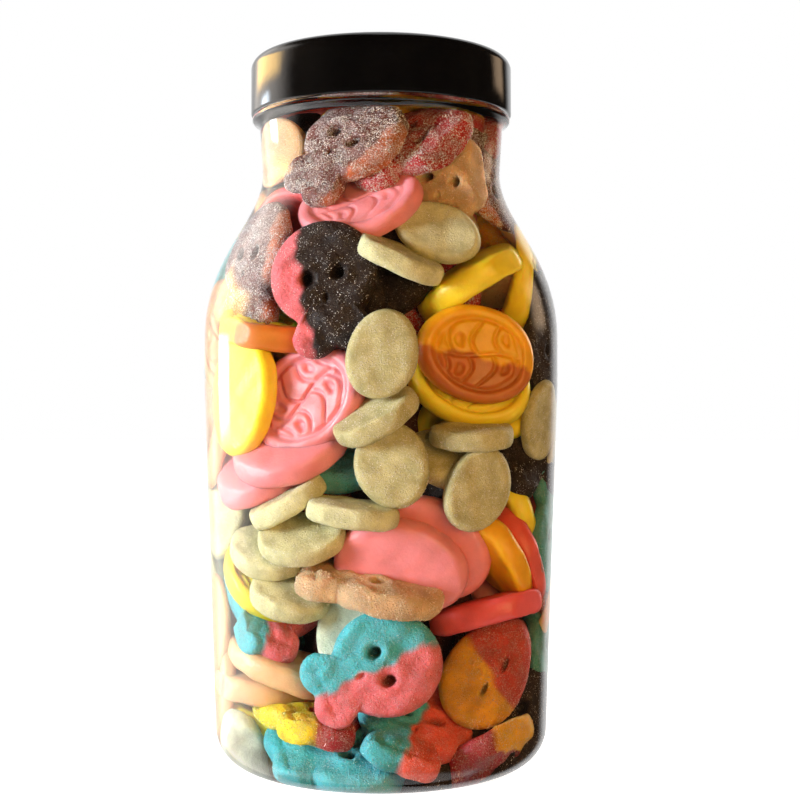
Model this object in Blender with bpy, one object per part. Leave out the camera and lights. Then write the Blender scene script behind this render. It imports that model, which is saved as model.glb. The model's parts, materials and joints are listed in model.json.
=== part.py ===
"""A shut jar of mixed sweets: a clear round jar, its screw lid and the sweets that fill it. Metres, +Z up."""

import math

import bmesh
import bpy
import numpy as np

MM = 0.001

# the jar, in millimetres
TOTAL_HEIGHT = 250.0
JAR_WALL = 1.0
JAR_SIDES = 40
FOOT_INNER_RADIUS = 39.0
FOOT_OUTER_RADIUS = 46.0
FOOT_DOME_HEIGHT = 5.0
HEEL_RADIUS = 13.0
BODY_TOP_RADIUS = 63.0
BODY_FULL_HEIGHT = 134.0
SHOULDER_START = 150.0
SHOULDER_PULL = 30.0
NECK_PULL = 17.0
NECK_HEIGHT = 209.0
NECK_RADIUS = 42.4
COLLAR_FOOT_HEIGHT = 225.0
COLLAR_FOOT_RADIUS = 43.3
COLLAR_RADIUS = 46.0
COLLAR_LOW = 227.2
COLLAR_HIGH = 229.2
FINISH_RADIUS = 43.4
RIM_HEIGHT = 247.6

# the lid, in millimetres
LID_SIDES = 40
LID_RADIUS = 46.5
LID_BOTTOM = 229.6
LID_EDGE_RADIUS = 4.3
LID_WALL = 1.3
LID_PANEL_RADIUS = 38.0
LID_PANEL_DEPTH = 0.6
LID_ROOF = 248.3
LID_CORNER = 1.4

# the sweets, as half length, half width and half thickness in millimetres
SWEET_SIZES = {
    "oval": (20.4, 15.9, 5.0),
    "disc": (14.4, 11.2, 4.5),
    "skull": (22.4, 17.0, 5.2),
    "round": (20.0, 15.0, 5.4),
}
WALL_GAP = 0.95
FLOOR_GAP = 0.5
HEAP_TOP = 240.0
CORE_INSET = 6.5
SHOWING_INSET = 17.0
SEED = 7
SETTLING_STEPS = 160

# front sweets: kind, millimetres across and up, depth behind the wall, then roll, pitch and yaw in degrees.
# Roll is the slope of the long side as seen, pitch leans the face up, yaw turns it to the right.
FRONT_SWEETS = (
    ("skull", -10, 211, 7, 50, 42, 0),
    ("skull", 11, 211, 10, 33, 50, 0),
    ("skull", 25, 222, 14, 22, 42, 0),
    ("oval", -6, 191, 7, 15, 44, 0),
    ("skull", 22, 199, 8, 70, 15, 0),
    ("skull", 37, 203, 4, -70, 50, 0),
    ("disc", -32, 215, 8, 76, -30, 180),
    ("oval", -28, 179, 18, 95, 30, 0),
    ("skull", 10, 225, 20, 10, 20, 0),
    ("skull", -39, 172, 6, 94, 66, 0),
    ("skull", -16, 165, 6, 99, 4, 0),
    ("disc", 17, 183, 8, -26, 30, 0),
    ("disc", 9, 193, 20, -28, 34, 0),
    ("disc", 4, 175, 12, -24, 82, 0),
    ("skull", 1, 167, 24, 70, 20, 0),
    ("skull", 7, 162, 28, 20, 10, 0),
    ("oval", 29, 167, 12, 20, -80, 180),
    ("oval", 46, 169, 8, 48, -66, 180),
    ("skull", 44, 158, 20, 30, 20, 0),
    ("skull", 52, 149, 7, -82, 56, 0),
    ("skull", -51, 159, 12, 60, 40, 0),
    ("oval", -33, 151, 11, -8, 70, 0),
    ("disc", 1, 143, 5, 72, 0, 0),
    ("oval", 32, 143, 6, -12, 6, 8),
    ("oval", 27, 133, 12, -18, 22, 0),
    ("oval", -44, 130, 4, 77, -50, 180),
    ("oval", -20, 128, 16, 45, 10, -14),
    ("oval", -29, 111, 15, 20, -56, 180),
    ("oval", -36, 104, 8, 16, -62, 180),
    ("disc", -1, 122, 9, 34, 62, 0),
    ("disc", 3, 109, 5, 100, 0, 0),
    ("disc", 29, 116, 10, -8, 54, 0),
    ("disc", 21, 109, 18, -15, 55, 0),
    ("disc", 31, 100, 5, 68, -18, 0),
    ("disc", 53, 122, 5, 56, -46, 0),
    ("skull", 54, 109, 6, 15, 30, 30),
    ("oval", 50, 94, 13, -72, -66, 180),
    ("oval", 57, 88, 12, 60, 20, 0),
    ("skull", -13, 106, 24, -5, 62, 0),
    ("skull", -5, 94, 23, -38, 66, 0),
    ("skull", 16, 98, 22, 20, 0, 0),
    ("disc", -28, 95, 8, 37, 80, 0),
    ("disc", -10, 92, 10, -28, 84, 0),
    ("disc", -50, 87, 7, 52, 42, 0),
    ("disc", -25, 85, 8, -4, 48, 0),
    ("disc", -36, 77, 7, -5, 46, 0),
    ("disc", -47, 67, 11, -30, 45, 0),
    ("oval", -32, 68, 14, -3, 66, 0),
    ("disc", -27, 66, 8, 16, 54, 0),
    ("oval", 6, 76, 12, -20, 14, 180),
    ("oval", 16, 79, 21, -36, 0, 180),
    ("oval", 35, 74, 8, -48, 60, 180),
    ("oval", 43, 76, 11, -50, 54, 180),
    ("skull", 56, 71, 9, -85, 52, 0),
    ("oval", 57, 60, 12, 10, 50, 0),
    ("skull", 57, 82, 11, -85, 60, 0),
    ("skull", -4, 66, 5, -4, 80, 0),
    ("oval", 37, 59, 5, 15, -88, 180),
    ("disc", -8, 54, 13, 80, 10, 0),
    ("skull", -35, 59, 6, 65, 0, 44),
    ("oval", -30, 40, 8, -24, -84, 180),
    ("oval", -40, 29, 10, -12, -84, 180),
    ("oval", -47, 17, 12, -4, -84, 180),
    ("oval", -52, 38, 13, 10, 50, 0),
    ("oval", -31, 23, 22, -6, 80, 0),
    ("skull", -21, 22, 7, 76, 0, 84),
    ("disc", -45, 8, 3, 115, 10, -20),
    ("skull", -13, 8, 6, 8, 36, 0),
    ("skull", -2, 42, 5, 26, 4, 0),
    ("round", 35, 38, 5, 58, 0, 0),
    ("skull", 11, 19, 10, 65, 0, 62),
    ("skull", 6, 7, 16, 5, 50, 0),
    ("skull", 46, 16, 9, 30, -10, 16),
    ("skull", 57, 25, 7, -80, 46, 0),
    ("skull", 37, 10, 5, 118, 0, -76),
    ("skull", 56, 45, 11, -80, 50, 0),
)


def bezier(start, pull_a, pull_b, end, steps):
    """Points of a cubic curve after its start, as (radius, height)."""
    t = np.linspace(0, 1, steps + 1)[1:, None]
    a, b, c, d = (np.array(p, float) for p in (start, pull_a, pull_b, end))
    return a * (1 - t) ** 3 + 3 * b * t * (1 - t) ** 2 + 3 * c * t * t * (1 - t) + d * t**3


def arc(centre, radius, start, end, steps):
    """Points of a round stretch after its start, as (radius, height), with angles in degrees."""
    turn = np.radians(np.linspace(start, end, steps + 1)[1:])
    return np.stack([centre[0] + radius * np.cos(turn), centre[1] + radius * np.sin(turn)], axis=1)


def body_outline():
    """The jar's outside from the heel's start to the collar's foot, as (radius, height)."""
    heel_centre = (FOOT_OUTER_RADIUS, HEEL_RADIUS)
    return np.concatenate(
        [
            [(FOOT_OUTER_RADIUS, 0.0)],
            arc(heel_centre, HEEL_RADIUS, -90, 0, 5),
            [(BODY_TOP_RADIUS, BODY_FULL_HEIGHT), (BODY_TOP_RADIUS, SHOULDER_START)],
            bezier(
                (BODY_TOP_RADIUS, SHOULDER_START),
                (BODY_TOP_RADIUS, SHOULDER_START + SHOULDER_PULL),
                (NECK_RADIUS, NECK_HEIGHT - NECK_PULL),
                (NECK_RADIUS, NECK_HEIGHT),
                9,
            ),
            [(COLLAR_FOOT_RADIUS, COLLAR_FOOT_HEIGHT)],
        ]
    )


def set_in(outline, depth):
    """The outline moved inwards by depth, square to itself."""
    along = np.gradient(outline, axis=0)
    along /= np.linalg.norm(along, axis=1)[:, None]
    return outline + depth * np.stack([-along[:, 1], along[:, 0]], axis=1)


def inner_outline():
    """The jar's inside from the floor's edge to the rim, as (radius, height)."""
    inside = set_in(body_outline(), JAR_WALL)
    inside[0] = (FOOT_OUTER_RADIUS, JAR_WALL)
    inside[-1] = (COLLAR_FOOT_RADIUS - JAR_WALL, COLLAR_FOOT_HEIGHT)
    return np.concatenate([inside, [(COLLAR_FOOT_RADIUS - JAR_WALL, RIM_HEIGHT)]])


def inner_radius(up):
    """The jar's inner radius at these heights."""
    inside = inner_outline()
    return np.interp(up, inside[:, 1], inside[:, 0])


def jar_outline():
    """The jar's whole section from the middle of its foot round to the middle of its floor."""
    foot = [
        (0.0, FOOT_DOME_HEIGHT),
        (FOOT_INNER_RADIUS * 0.55, FOOT_DOME_HEIGHT * 0.8),
        (FOOT_INNER_RADIUS - 3.0, FOOT_DOME_HEIGHT * 0.3),
        (FOOT_INNER_RADIUS, 0.0),
    ]
    finish = [
        (COLLAR_RADIUS, COLLAR_LOW),
        (COLLAR_RADIUS, COLLAR_HIGH),
        (FINISH_RADIUS, COLLAR_HIGH),
        (FINISH_RADIUS, RIM_HEIGHT),
    ]
    floor = [(r, h + JAR_WALL) for r, h in foot[2::-1]]
    return np.concatenate([foot, body_outline(), finish, inner_outline()[::-1], floor])


def lid_outline():
    """The lid's section from the middle of its top, down outside and up inside to the middle of its roof."""
    edge_centre = (LID_RADIUS - LID_EDGE_RADIUS, TOTAL_HEIGHT - LID_EDGE_RADIUS)
    rounded = arc(edge_centre, LID_EDGE_RADIUS, 90, 0, 5)
    return np.concatenate(
        [
            [(0.0, TOTAL_HEIGHT - LID_PANEL_DEPTH), (LID_PANEL_RADIUS, TOTAL_HEIGHT - LID_PANEL_DEPTH)],
            [(LID_PANEL_RADIUS + 1.0, TOTAL_HEIGHT), (edge_centre[0], TOTAL_HEIGHT)],
            rounded,
            [(LID_RADIUS, LID_BOTTOM), (LID_RADIUS - LID_WALL, LID_BOTTOM)],
            [(LID_RADIUS - LID_WALL, LID_ROOF - LID_CORNER)],
            [(LID_RADIUS - LID_WALL - LID_CORNER, LID_ROOF), (0.0, LID_ROOF)],
        ]
    )


def mesh_object(name, points, faces):
    """A mesh object with all faces turned outward, from points in millimetres."""
    mesh = bpy.data.meshes.new(name)
    mesh.from_pydata((np.asarray(points) * MM).tolist(), [], faces)
    shape = bmesh.new()
    shape.from_mesh(mesh)
    bmesh.ops.recalc_face_normals(shape, faces=shape.faces)
    shape.to_mesh(mesh)
    shape.free()
    obj = bpy.data.objects.new(name, mesh)
    bpy.context.scene.collection.objects.link(obj)
    return obj


def revolve(name, outline, sides):
    """A closed body turned from an outline that starts and ends on the axis."""
    turn = np.arange(sides) * 2 * math.pi / sides
    rings = outline[1:-1]
    points = np.stack(
        [
            np.outer(rings[:, 0], np.cos(turn)).ravel(),
            np.outer(rings[:, 0], np.sin(turn)).ravel(),
            np.repeat(rings[:, 1], sides),
        ],
        axis=1,
    )
    first, last = len(points), len(points) + 1
    points = np.concatenate([points, [(0, 0, outline[0][1]), (0, 0, outline[-1][1])]])
    faces = []
    for side in range(sides):
        after = (side + 1) % sides
        faces.append((first, side, after))
        base = (len(rings) - 1) * sides
        faces.append((last, base + after, base + side))
        for ring in range(len(rings) - 1):
            low, high = ring * sides, (ring + 1) * sides
            faces.append((low + side, high + side, high + after, low + after))
    return mesh_object(name, points, faces)


def turned(axis, degrees):
    """A rotation matrix about x, y or z."""
    c, s = math.cos(math.radians(degrees)), math.sin(math.radians(degrees))
    return {
        "x": np.array([[1, 0, 0], [0, c, -s], [0, s, c]]),
        "y": np.array([[c, 0, s], [0, 1, 0], [-s, 0, c]]),
        "z": np.array([[c, -s, 0], [s, c, 0], [0, 0, 1]]),
    }[axis]


def facing(roll, pitch, yaw):
    """The rotation of a sweet seen from the front: its face looks at the viewer, then leans and rolls."""
    upright = np.array([[1.0, 0, 0], [0, 0, -1.0], [0, 1.0, 0]])
    return turned("y", -roll) @ turned("z", yaw) @ turned("x", -pitch) @ upright


def front_rows():
    """The hand placed sweets as kind, centre, rotation, depth behind the wall, weight and 1 for held."""
    rows = []
    for kind, across, up, inset, roll, pitch, yaw in FRONT_SWEETS:
        reach = float(inner_radius(up)) - inset
        back = -math.sqrt(max(reach * reach - across * across, 1.0))
        weight = 40 * math.exp((5 - inset) / 2.5) + 5
        rows.append((kind, (across, back, up), facing(roll, pitch, yaw), inset, weight, 1.0))
    return rows


def round_rows(draw):
    """Sweets by rule round the sides and back, in three rough shells, and behind the front ones."""
    rows = []
    for inset, clear, spacing, level in ((7.5, 68, 31, 21.0), (22.0, 66, 34, 25.0), (37.0, 0, 40, 36.0)):
        for up in np.arange(8.0, HEAP_TOP - 6, level):
            reach = float(inner_radius(up)) - inset
            count = int(2 * math.pi * reach / spacing)
            start = draw.random() * 360
            for step in range(max(count, 0)):
                angle = start + 360 * step / count + draw.normal() * 3
                kind = ("oval", "disc", "skull")[draw.integers(3)]
                lean = draw.choice((0, 0, 50, 62, -55)) + draw.normal() * 9
                pose = facing(draw.random() * 180 - 90, lean, draw.choice((0, 180)) + draw.normal() * 10)
                height = up + draw.normal() * 4
                if abs((angle + 180) % 360 - 180) < clear + (14 if clear and up > 185 else 0):
                    continue
                spun = turned("z", angle)
                rows.append((kind, tuple(spun @ (0, -reach, height)), spun @ pose, inset, 1.0, 0.0))
    return rows


def feelers(kind, scale):
    """Balls that stand for one sweet: eight round its rim and two inside, as centres and one radius."""
    half_long, half_wide, half_thick = np.array(SWEET_SIZES[kind]) * scale
    turn = np.arange(8) * math.pi / 4
    rim = np.stack(
        [(half_long - half_thick) * np.cos(turn), (half_wide - half_thick) * np.sin(turn), 0 * turn], axis=1
    )
    inside = np.array([(-0.42, 0, 0), (0.42, 0, 0)]) * (half_long - half_thick)
    return np.concatenate([rim, inside]), half_thick


def small_turns(amounts):
    """Rotation matrices for small turns about their own axes, by the formula of Rodrigues."""
    angle = np.linalg.norm(amounts, axis=1)
    axis = amounts / np.maximum(angle, 1e-9)[:, None]
    cross = np.zeros((len(amounts), 3, 3))
    cross[:, 0, 1], cross[:, 0, 2], cross[:, 1, 2] = -axis[:, 2], axis[:, 1], -axis[:, 0]
    cross -= cross.transpose(0, 2, 1)
    sine, rest = np.sin(angle)[:, None, None], (1 - np.cos(angle))[:, None, None]
    return np.eye(3) + sine * cross + rest * (cross @ cross)


def near_pairs(centres, reach):
    """Index pairs of sweets near enough to touch."""
    apart = np.linalg.norm(centres[:, None] - centres[None], axis=2)
    first, second = np.nonzero(apart < reach[:, None] + reach[None])
    return first[first < second], second[first < second]


def settle(centres, poses, balls, radii, weights, held):
    """Pushes sweets apart and off the wall, a little at each step, until they barely touch.

    A held sweet gives way in depth first, and is drawn back to its start by a pull that fades.
    """
    reach = np.linalg.norm(balls, axis=2).max(axis=1) + radii
    start_centres, start_poses = centres, poses
    give = 0.55 * (1 - held[:, None] * np.array([0.7, 0.0, 0.7]))
    for step in range(SETTLING_STEPS):
        if step % 8 == 0:
            first, second = near_pairs(centres, reach + 1.0)
        arms = np.einsum("nij,nkj->nki", poses, balls)
        spots = centres[:, None] + arms
        push = np.zeros_like(spots)
        gap = spots[first][:, :, None] - spots[second][:, None]
        apart = np.linalg.norm(gap, axis=3)
        overlap = np.maximum(radii[first][:, None, None] + radii[second][:, None, None] - apart, 0)
        shove = gap / np.maximum(apart, 1e-6)[..., None] * overlap[..., None]
        shove *= (1 - 0.35 * held[first] * held[second])[:, None, None, None]
        share = (weights[second] / (weights[first] + weights[second]))[:, None, None]
        np.add.at(push, first, shove.sum(axis=2) * share)
        np.add.at(push, second, -shove.sum(axis=1) * (1 - share))
        push += wall_push(spots, radii)
        hits = np.maximum((np.abs(push).sum(axis=2) > 0).sum(axis=1), 1)[:, None]
        pull = (0.14 * held * (1 - step / SETTLING_STEPS))[:, None]
        centres = centres + give * push.sum(axis=1) / hits + pull * (start_centres - centres) * (1.0, 0.3, 1.0)
        twist = np.cross(arms, push).sum(axis=1) / (arms**2).sum(axis=(1, 2))[:, None]
        back = start_poses @ poses.transpose(0, 2, 1)
        drift = np.stack(
            [back[:, 2, 1] - back[:, 1, 2], back[:, 0, 2] - back[:, 2, 0], back[:, 1, 0] - back[:, 0, 1]], axis=1
        )
        poses = small_turns((0.7 - 0.4 * held)[:, None] * twist + 0.5 * pull * drift) @ poses
    return centres, poses


def wall_push(spots, radii):
    """How far each ball must move to be inside the jar, off its floor and under the lid."""
    push = np.zeros_like(spots)
    flat = np.linalg.norm(spots[..., :2], axis=2)
    room = inner_radius(spots[..., 2]) - WALL_GAP - radii[:, None]
    out = np.maximum(flat - room, 0) / np.maximum(flat, 1e-6)
    push[..., :2] = -spots[..., :2] * out[..., None]
    low = JAR_WALL + FLOOR_GAP + foot_rise(flat) + radii[:, None]
    push[..., 2] = np.maximum(low - spots[..., 2], 0) - np.maximum(spots[..., 2] - HEAP_TOP + radii[:, None], 0)
    return push


def foot_rise(flat):
    """Height of the domed floor above its edge at this distance from the axis."""
    return np.interp(flat, (0, FOOT_INNER_RADIUS * 0.55, FOOT_INNER_RADIUS - 3.0, FOOT_OUTER_RADIUS), (5, 4, 1.5, 0))


def heap_of_sweets():
    """All sweets after settling: kind, size factor, centre, rotation and first depth behind the wall."""
    draw = np.random.default_rng(SEED)
    rows = front_rows() + round_rows(draw)
    held = np.array([row[5] for row in rows])
    scales = np.where(held > 0, 1.0, draw.uniform(0.94, 1.06, len(rows)))
    fitted = [feelers(row[0], scale) for row, scale in zip(rows, scales)]
    balls = np.array([fit[0] for fit in fitted])
    radii = np.array([fit[1] for fit in fitted])
    centres = np.array([row[1] for row in rows], float)
    poses = np.array([row[2] for row in rows])
    weights = np.array([row[4] for row in rows])
    centres, poses = settle(centres, poses, balls, radii, weights, held)
    return [
        (row[0], scale, centre, pose, row[3]) for row, scale, centre, pose in zip(rows, scales, centres, poses)
    ]


def sweet_rim(kind, sides):
    """The outline of one sweet as points of a unit ellipse, with a skull's jaw drawn in narrower."""
    turn = (np.arange(sides) + 0.5) * 2 * math.pi / sides
    along, across = np.cos(turn), np.sin(turn)
    if kind == "skull":
        across = across * np.where(along < -0.2, 0.74, 1.0)
    return along, across


def sweet_solid(kind, scale, centre, pose):
    """Points and faces of one sweet with few sides: a full middle ring between two smaller ones."""
    half = np.array(SWEET_SIZES[kind]) * scale
    sides = {"oval": 9, "disc": 8, "skull": 10, "round": 9}[kind]
    along, across = sweet_rim(kind, sides)
    rings = [
        np.stack([half[0] * grow * along, half[1] * grow * across, 0 * along + half[2] * rise], axis=1)
        for grow, rise in ((0.8, -1.0), (1.0, 0.0), (0.8, 1.0))
    ]
    points = np.concatenate(rings) @ pose.T + centre
    faces = [tuple(range(sides))[::-1], tuple(range(2 * sides, 3 * sides))]
    for low in (0, sides):
        for side in range(sides):
            after = (side + 1) % sides
            faces.append((low + side, low + after, low + sides + after, low + sides + side))
    return kept_inside(points), faces


def kept_inside(points):
    """Points pressed flat against the jar's wall, floor and roof where they would pass through."""
    points = points.copy()
    points[:, 2] = np.clip(points[:, 2], 0, HEAP_TOP + 4.0)
    flat = np.linalg.norm(points[:, :2], axis=1)
    points[:, 2] = np.maximum(points[:, 2], JAR_WALL + FLOOR_GAP + foot_rise(flat))
    room = inner_radius(points[:, 2]) - WALL_GAP
    points[:, :2] *= np.minimum(room / np.maximum(flat, 1e-6), 1.0)[:, None]
    return points


def heap_core():
    """The lump behind the sweets that show, a little in from the jar's inside."""
    levels = np.array([9, 30, 60, 95, 130, 150, 165, 180, 192, 206, 225, HEAP_TOP - 6])
    radius = inner_radius(levels) - CORE_INSET
    radius[0] -= 3.0
    outline = np.concatenate([[(0, levels[0])], np.stack([radius, levels], axis=1), [(0, levels[-1])]])
    return revolve("candy_heap", outline, 20)


def keep_biggest_shell(obj):
    """Drops sealed hollows and loose scraps, so that one closed body is left."""
    shape = bmesh.new()
    shape.from_mesh(obj.data)
    waiting = set(shape.verts)
    shells = []
    while waiting:
        shell, edge = set(), [waiting.pop()]
        while edge:
            vert = edge.pop()
            shell.add(vert)
            found = {other.other_vert(vert) for other in vert.link_edges} & waiting
            waiting -= found
            edge.extend(found)
        shells.append(shell)
    biggest = max(shells, key=len)
    bmesh.ops.delete(shape, geom=[v for shell in shells if shell is not biggest for v in shell], context="VERTS")
    bmesh.ops.triangulate(shape, faces=shape.faces)
    shape.to_mesh(obj.data)
    shape.free()


def candy_heap():
    """The heap: the core with every sweet that shows fused on."""
    heap = heap_core()
    pieces = bpy.data.collections.new("pieces")
    bpy.context.scene.collection.children.link(pieces)
    made = []
    for number, (kind, scale, centre, pose, inset) in enumerate(heap_of_sweets()):
        if inset > SHOWING_INSET:
            continue
        piece = mesh_object(f"piece_{number}", *sweet_solid(kind, scale, centre, pose))
        bpy.context.scene.collection.objects.unlink(piece)
        pieces.objects.link(piece)
        made.append(piece)
    join = heap.modifiers.new("join", "BOOLEAN")
    join.operation = "UNION"
    join.solver = "MANIFOLD"
    join.operand_type = "COLLECTION"
    join.collection = pieces
    joined = bpy.data.meshes.new_from_object(heap.evaluated_get(bpy.context.evaluated_depsgraph_get()))
    heap.modifiers.clear()
    heap.data = joined
    for piece in made:
        bpy.data.objects.remove(piece)
    bpy.data.collections.remove(pieces)
    keep_biggest_shell(heap)
    return heap


def material(name, colour, roughness, transmission=0.0):
    made = bpy.data.materials.new(name)
    made.use_nodes = True
    shader = made.node_tree.nodes["Principled BSDF"]
    shader.inputs["Base Color"].default_value = (*colour, 1.0)
    shader.inputs["Roughness"].default_value = roughness
    shader.inputs["Transmission Weight"].default_value = transmission
    return made


def main():
    for obj in list(bpy.data.objects):
        bpy.data.objects.remove(obj)
    jar = revolve("jar", jar_outline(), JAR_SIDES)
    jar.data.materials.append(material("clear_plastic", (0.96, 0.97, 0.97), 0.05, 1.0))
    lid = revolve("lid", lid_outline(), LID_SIDES)
    lid.data.materials.append(material("black_plastic", (0.01, 0.01, 0.012), 0.12))
    heap = candy_heap()
    heap.data.materials.clear()
    heap.data.materials.append(material("sweets", (0.85, 0.55, 0.35), 0.6))
    for obj in (jar, lid, heap):
        print(obj.name, "faces", len(obj.data.polygons))


main()
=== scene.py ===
# A shut jar of mixed sweets: clear plastic jar, black screw lid, and about two hundred soft sweets.
import json
import math

import bpy
import numpy as np
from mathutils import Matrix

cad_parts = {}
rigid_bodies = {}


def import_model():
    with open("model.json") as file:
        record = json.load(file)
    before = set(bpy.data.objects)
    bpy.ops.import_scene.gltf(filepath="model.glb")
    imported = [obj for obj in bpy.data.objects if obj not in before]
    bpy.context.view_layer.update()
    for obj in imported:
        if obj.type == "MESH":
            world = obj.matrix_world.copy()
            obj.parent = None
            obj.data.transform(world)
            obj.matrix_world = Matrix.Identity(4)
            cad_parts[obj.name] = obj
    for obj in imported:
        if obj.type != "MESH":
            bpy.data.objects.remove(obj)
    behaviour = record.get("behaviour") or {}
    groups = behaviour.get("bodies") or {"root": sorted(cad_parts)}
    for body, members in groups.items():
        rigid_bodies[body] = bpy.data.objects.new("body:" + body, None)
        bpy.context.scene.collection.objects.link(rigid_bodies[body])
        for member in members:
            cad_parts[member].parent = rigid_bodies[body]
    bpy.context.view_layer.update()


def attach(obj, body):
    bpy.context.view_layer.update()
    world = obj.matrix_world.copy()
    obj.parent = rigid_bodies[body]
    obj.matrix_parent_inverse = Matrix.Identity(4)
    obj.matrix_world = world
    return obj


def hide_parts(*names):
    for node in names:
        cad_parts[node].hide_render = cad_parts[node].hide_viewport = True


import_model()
mm = 0.001

# the jar's own sizes, in millimetres
jarPlan = {
    "footInner": 39.0,
    "footOuter": 46.0,
    "footDome": 5.0,
    "heel": 13.0,
    "bodyTop": 63.0,
    "bodyFull": 134.0,
    "shoulder": 150.0,
    "shoulderPull": 30.0,
    "neckPull": 17.0,
    "neck": 209.0,
    "neckRadius": 42.4,
    "collarFoot": 225.0,
    "collarFootRadius": 43.3,
    "collarRadius": 46.0,
    "collarLow": 227.2,
    "collarHigh": 229.2,
    "finishRadius": 43.4,
    "rim": 247.6,
    "wall": 1.0,
    "sides": 224,
}


def curvePoints(start, pullA, pullB, end, steps):
    # points of a cubic curve after its start: the mean of four corners, weighted by (1-t)^3, 3t(1-t)^2,
    # 3t^2(1-t) and t^3
    t = np.linspace(0, 1, steps + 1)[1:, None]
    a, b, c, d = (np.array(p, float) for p in (start, pullA, pullB, end))
    return a * (1 - t) ** 3 + 3 * b * t * (1 - t) ** 2 + 3 * c * t * t * (1 - t) + d * t**3


def arcPoints(centre, radius, start, end, steps):
    # points of a circle's stretch after its start: centre plus radius times cosine and sine of the angle
    turn = np.radians(np.linspace(start, end, steps + 1)[1:])
    return np.stack([centre[0] + radius * np.cos(turn), centre[1] + radius * np.sin(turn)], axis=1)


def bodyOutline(heelSteps, shoulderSteps):
    # outside of the jar from the heel to the collar: arc, taper, straight, S curve of the shoulder, flare
    p = jarPlan
    return np.concatenate(
        [
            [(p["footOuter"], 0.0)],
            arcPoints((p["footOuter"], p["heel"]), p["heel"], -90, 0, heelSteps),
            [(p["bodyTop"], p["bodyFull"]), (p["bodyTop"], p["shoulder"])],
            curvePoints(
                (p["bodyTop"], p["shoulder"]),
                (p["bodyTop"], p["shoulder"] + p["shoulderPull"]),
                (p["neckRadius"], p["neck"] - p["neckPull"]),
                (p["neckRadius"], p["neck"]),
                shoulderSteps,
            ),
            [(p["collarFootRadius"], p["collarFoot"])],
        ]
    )


def setIn(outline, depth):
    # each point moved square to the outline's own direction
    along = np.gradient(outline, axis=0)
    along /= np.linalg.norm(along, axis=1)[:, None]
    return outline + depth * np.stack([-along[:, 1], along[:, 0]], axis=1)


def innerOutline(heelSteps, shoulderSteps):
    # inside of the jar from the floor's edge to the rim
    p = jarPlan
    inside = setIn(bodyOutline(heelSteps, shoulderSteps), p["wall"])
    inside[0] = (p["footOuter"], p["wall"])
    inside[-1] = (p["collarFootRadius"] - p["wall"], p["collarFoot"])
    return np.concatenate([inside, [(p["collarFootRadius"] - p["wall"], p["rim"])]])


roughInside = innerOutline(5, 9)  # the few points that the sweets settle against


def innerRadius(up):
    # the inside's radius at a height, straight between the outline's points
    return np.interp(up, roughInside[:, 1], roughInside[:, 0])


def footRise(flat):
    # height of the domed floor at a distance from the axis, straight between four points
    p = jarPlan
    outwards = (0, p["footInner"] * 0.55, p["footInner"] - 3.0, p["footOuter"])
    return np.interp(flat, outwards, p["footDome"] * np.array((1, 0.8, 0.3, 0)))


def buildMesh(name, points, quads, triangles, tint=None):
    # arrays in millimetres and corner numbers straight into a smooth mesh object, with its colour per point
    mesh = bpy.data.meshes.new(name)
    quads = np.asarray(quads, np.int32).reshape(-1, 4)
    triangles = np.asarray(triangles, np.int32).reshape(-1, 3)
    mesh.vertices.add(len(points))
    mesh.vertices.foreach_set("co", (np.asarray(points, np.float32) * mm).ravel())
    corners = np.concatenate([quads.ravel(), triangles.ravel()])
    starts = np.concatenate([np.arange(len(quads)) * 4, len(quads) * 4 + np.arange(len(triangles)) * 3])
    mesh.loops.add(len(corners))
    mesh.loops.foreach_set("vertex_index", corners.astype(np.int32))
    mesh.polygons.add(len(starts))
    mesh.polygons.foreach_set("loop_start", starts.astype(np.int32))
    mesh.polygons.foreach_set("use_smooth", np.ones(len(starts), bool))
    mesh.update(calc_edges=True)
    if tint is not None:
        layer = mesh.attributes.new("tint", "FLOAT_COLOR", "POINT")
        colour = np.ones((len(points), 4), np.float32)
        colour[:, :3] = tint
        layer.data.foreach_set("color", colour.ravel())
    obj = bpy.data.objects.new(name, mesh)
    bpy.context.scene.collection.objects.link(obj)
    return obj


def turnedPiece(name, outline, sides):
    # radius and height carried round the axis: x = r cos a, y = r sin a, with a pole at each end
    turn = np.arange(sides) * 2 * math.pi / sides
    rings = outline[1:-1]
    across, away = np.outer(rings[:, 0], np.cos(turn)), np.outer(rings[:, 0], np.sin(turn))
    grid = np.stack([across, away, np.repeat(rings[:, 1:], sides, axis=1)], axis=-1).reshape(-1, 3)
    points = np.concatenate([grid, [(0, 0, outline[0][1]), (0, 0, outline[-1][1])]])
    side = np.arange(sides)
    after = (side + 1) % sides
    low = (np.arange(len(rings) - 1) * sides)[:, None]
    high = low + sides
    quads = np.stack([low + side, low + after, high + after, high + side], axis=-1).reshape(-1, 4)
    firstPole, lastPole = len(grid), len(grid) + 1
    base = (len(rings) - 1) * sides
    triangles = np.concatenate(
        [
            np.stack([np.full(sides, firstPole), after, side], axis=1),
            np.stack([np.full(sides, lastPole), base + side, base + after], axis=1),
        ]
    )
    return buildMesh(name, points, quads, triangles)


# nodes
def addNode(tree, kind, values=None, **settings):
    node = tree.nodes.new(kind)
    for key, value in settings.items():
        setattr(node, key, value)
    for key, value in (values or {}).items():
        node.inputs[key].default_value = value
    return node


def newMaterial(name):
    made = bpy.data.materials.new(name)
    made.use_nodes = True
    tree = made.node_tree
    return made, tree, tree.nodes["Principled BSDF"]


def newGroup(name, inputs, outputs):
    group = bpy.data.node_groups.new(name, "ShaderNodeTree")
    for label, kind, start in inputs:
        socket = group.interface.new_socket(label, in_out="INPUT", socket_type=kind)
        socket.default_value = start
    for label, kind in outputs:
        group.interface.new_socket(label, in_out="OUTPUT", socket_type=kind)
    return group, group.nodes.new("NodeGroupInput"), group.nodes.new("NodeGroupOutput")


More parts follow.
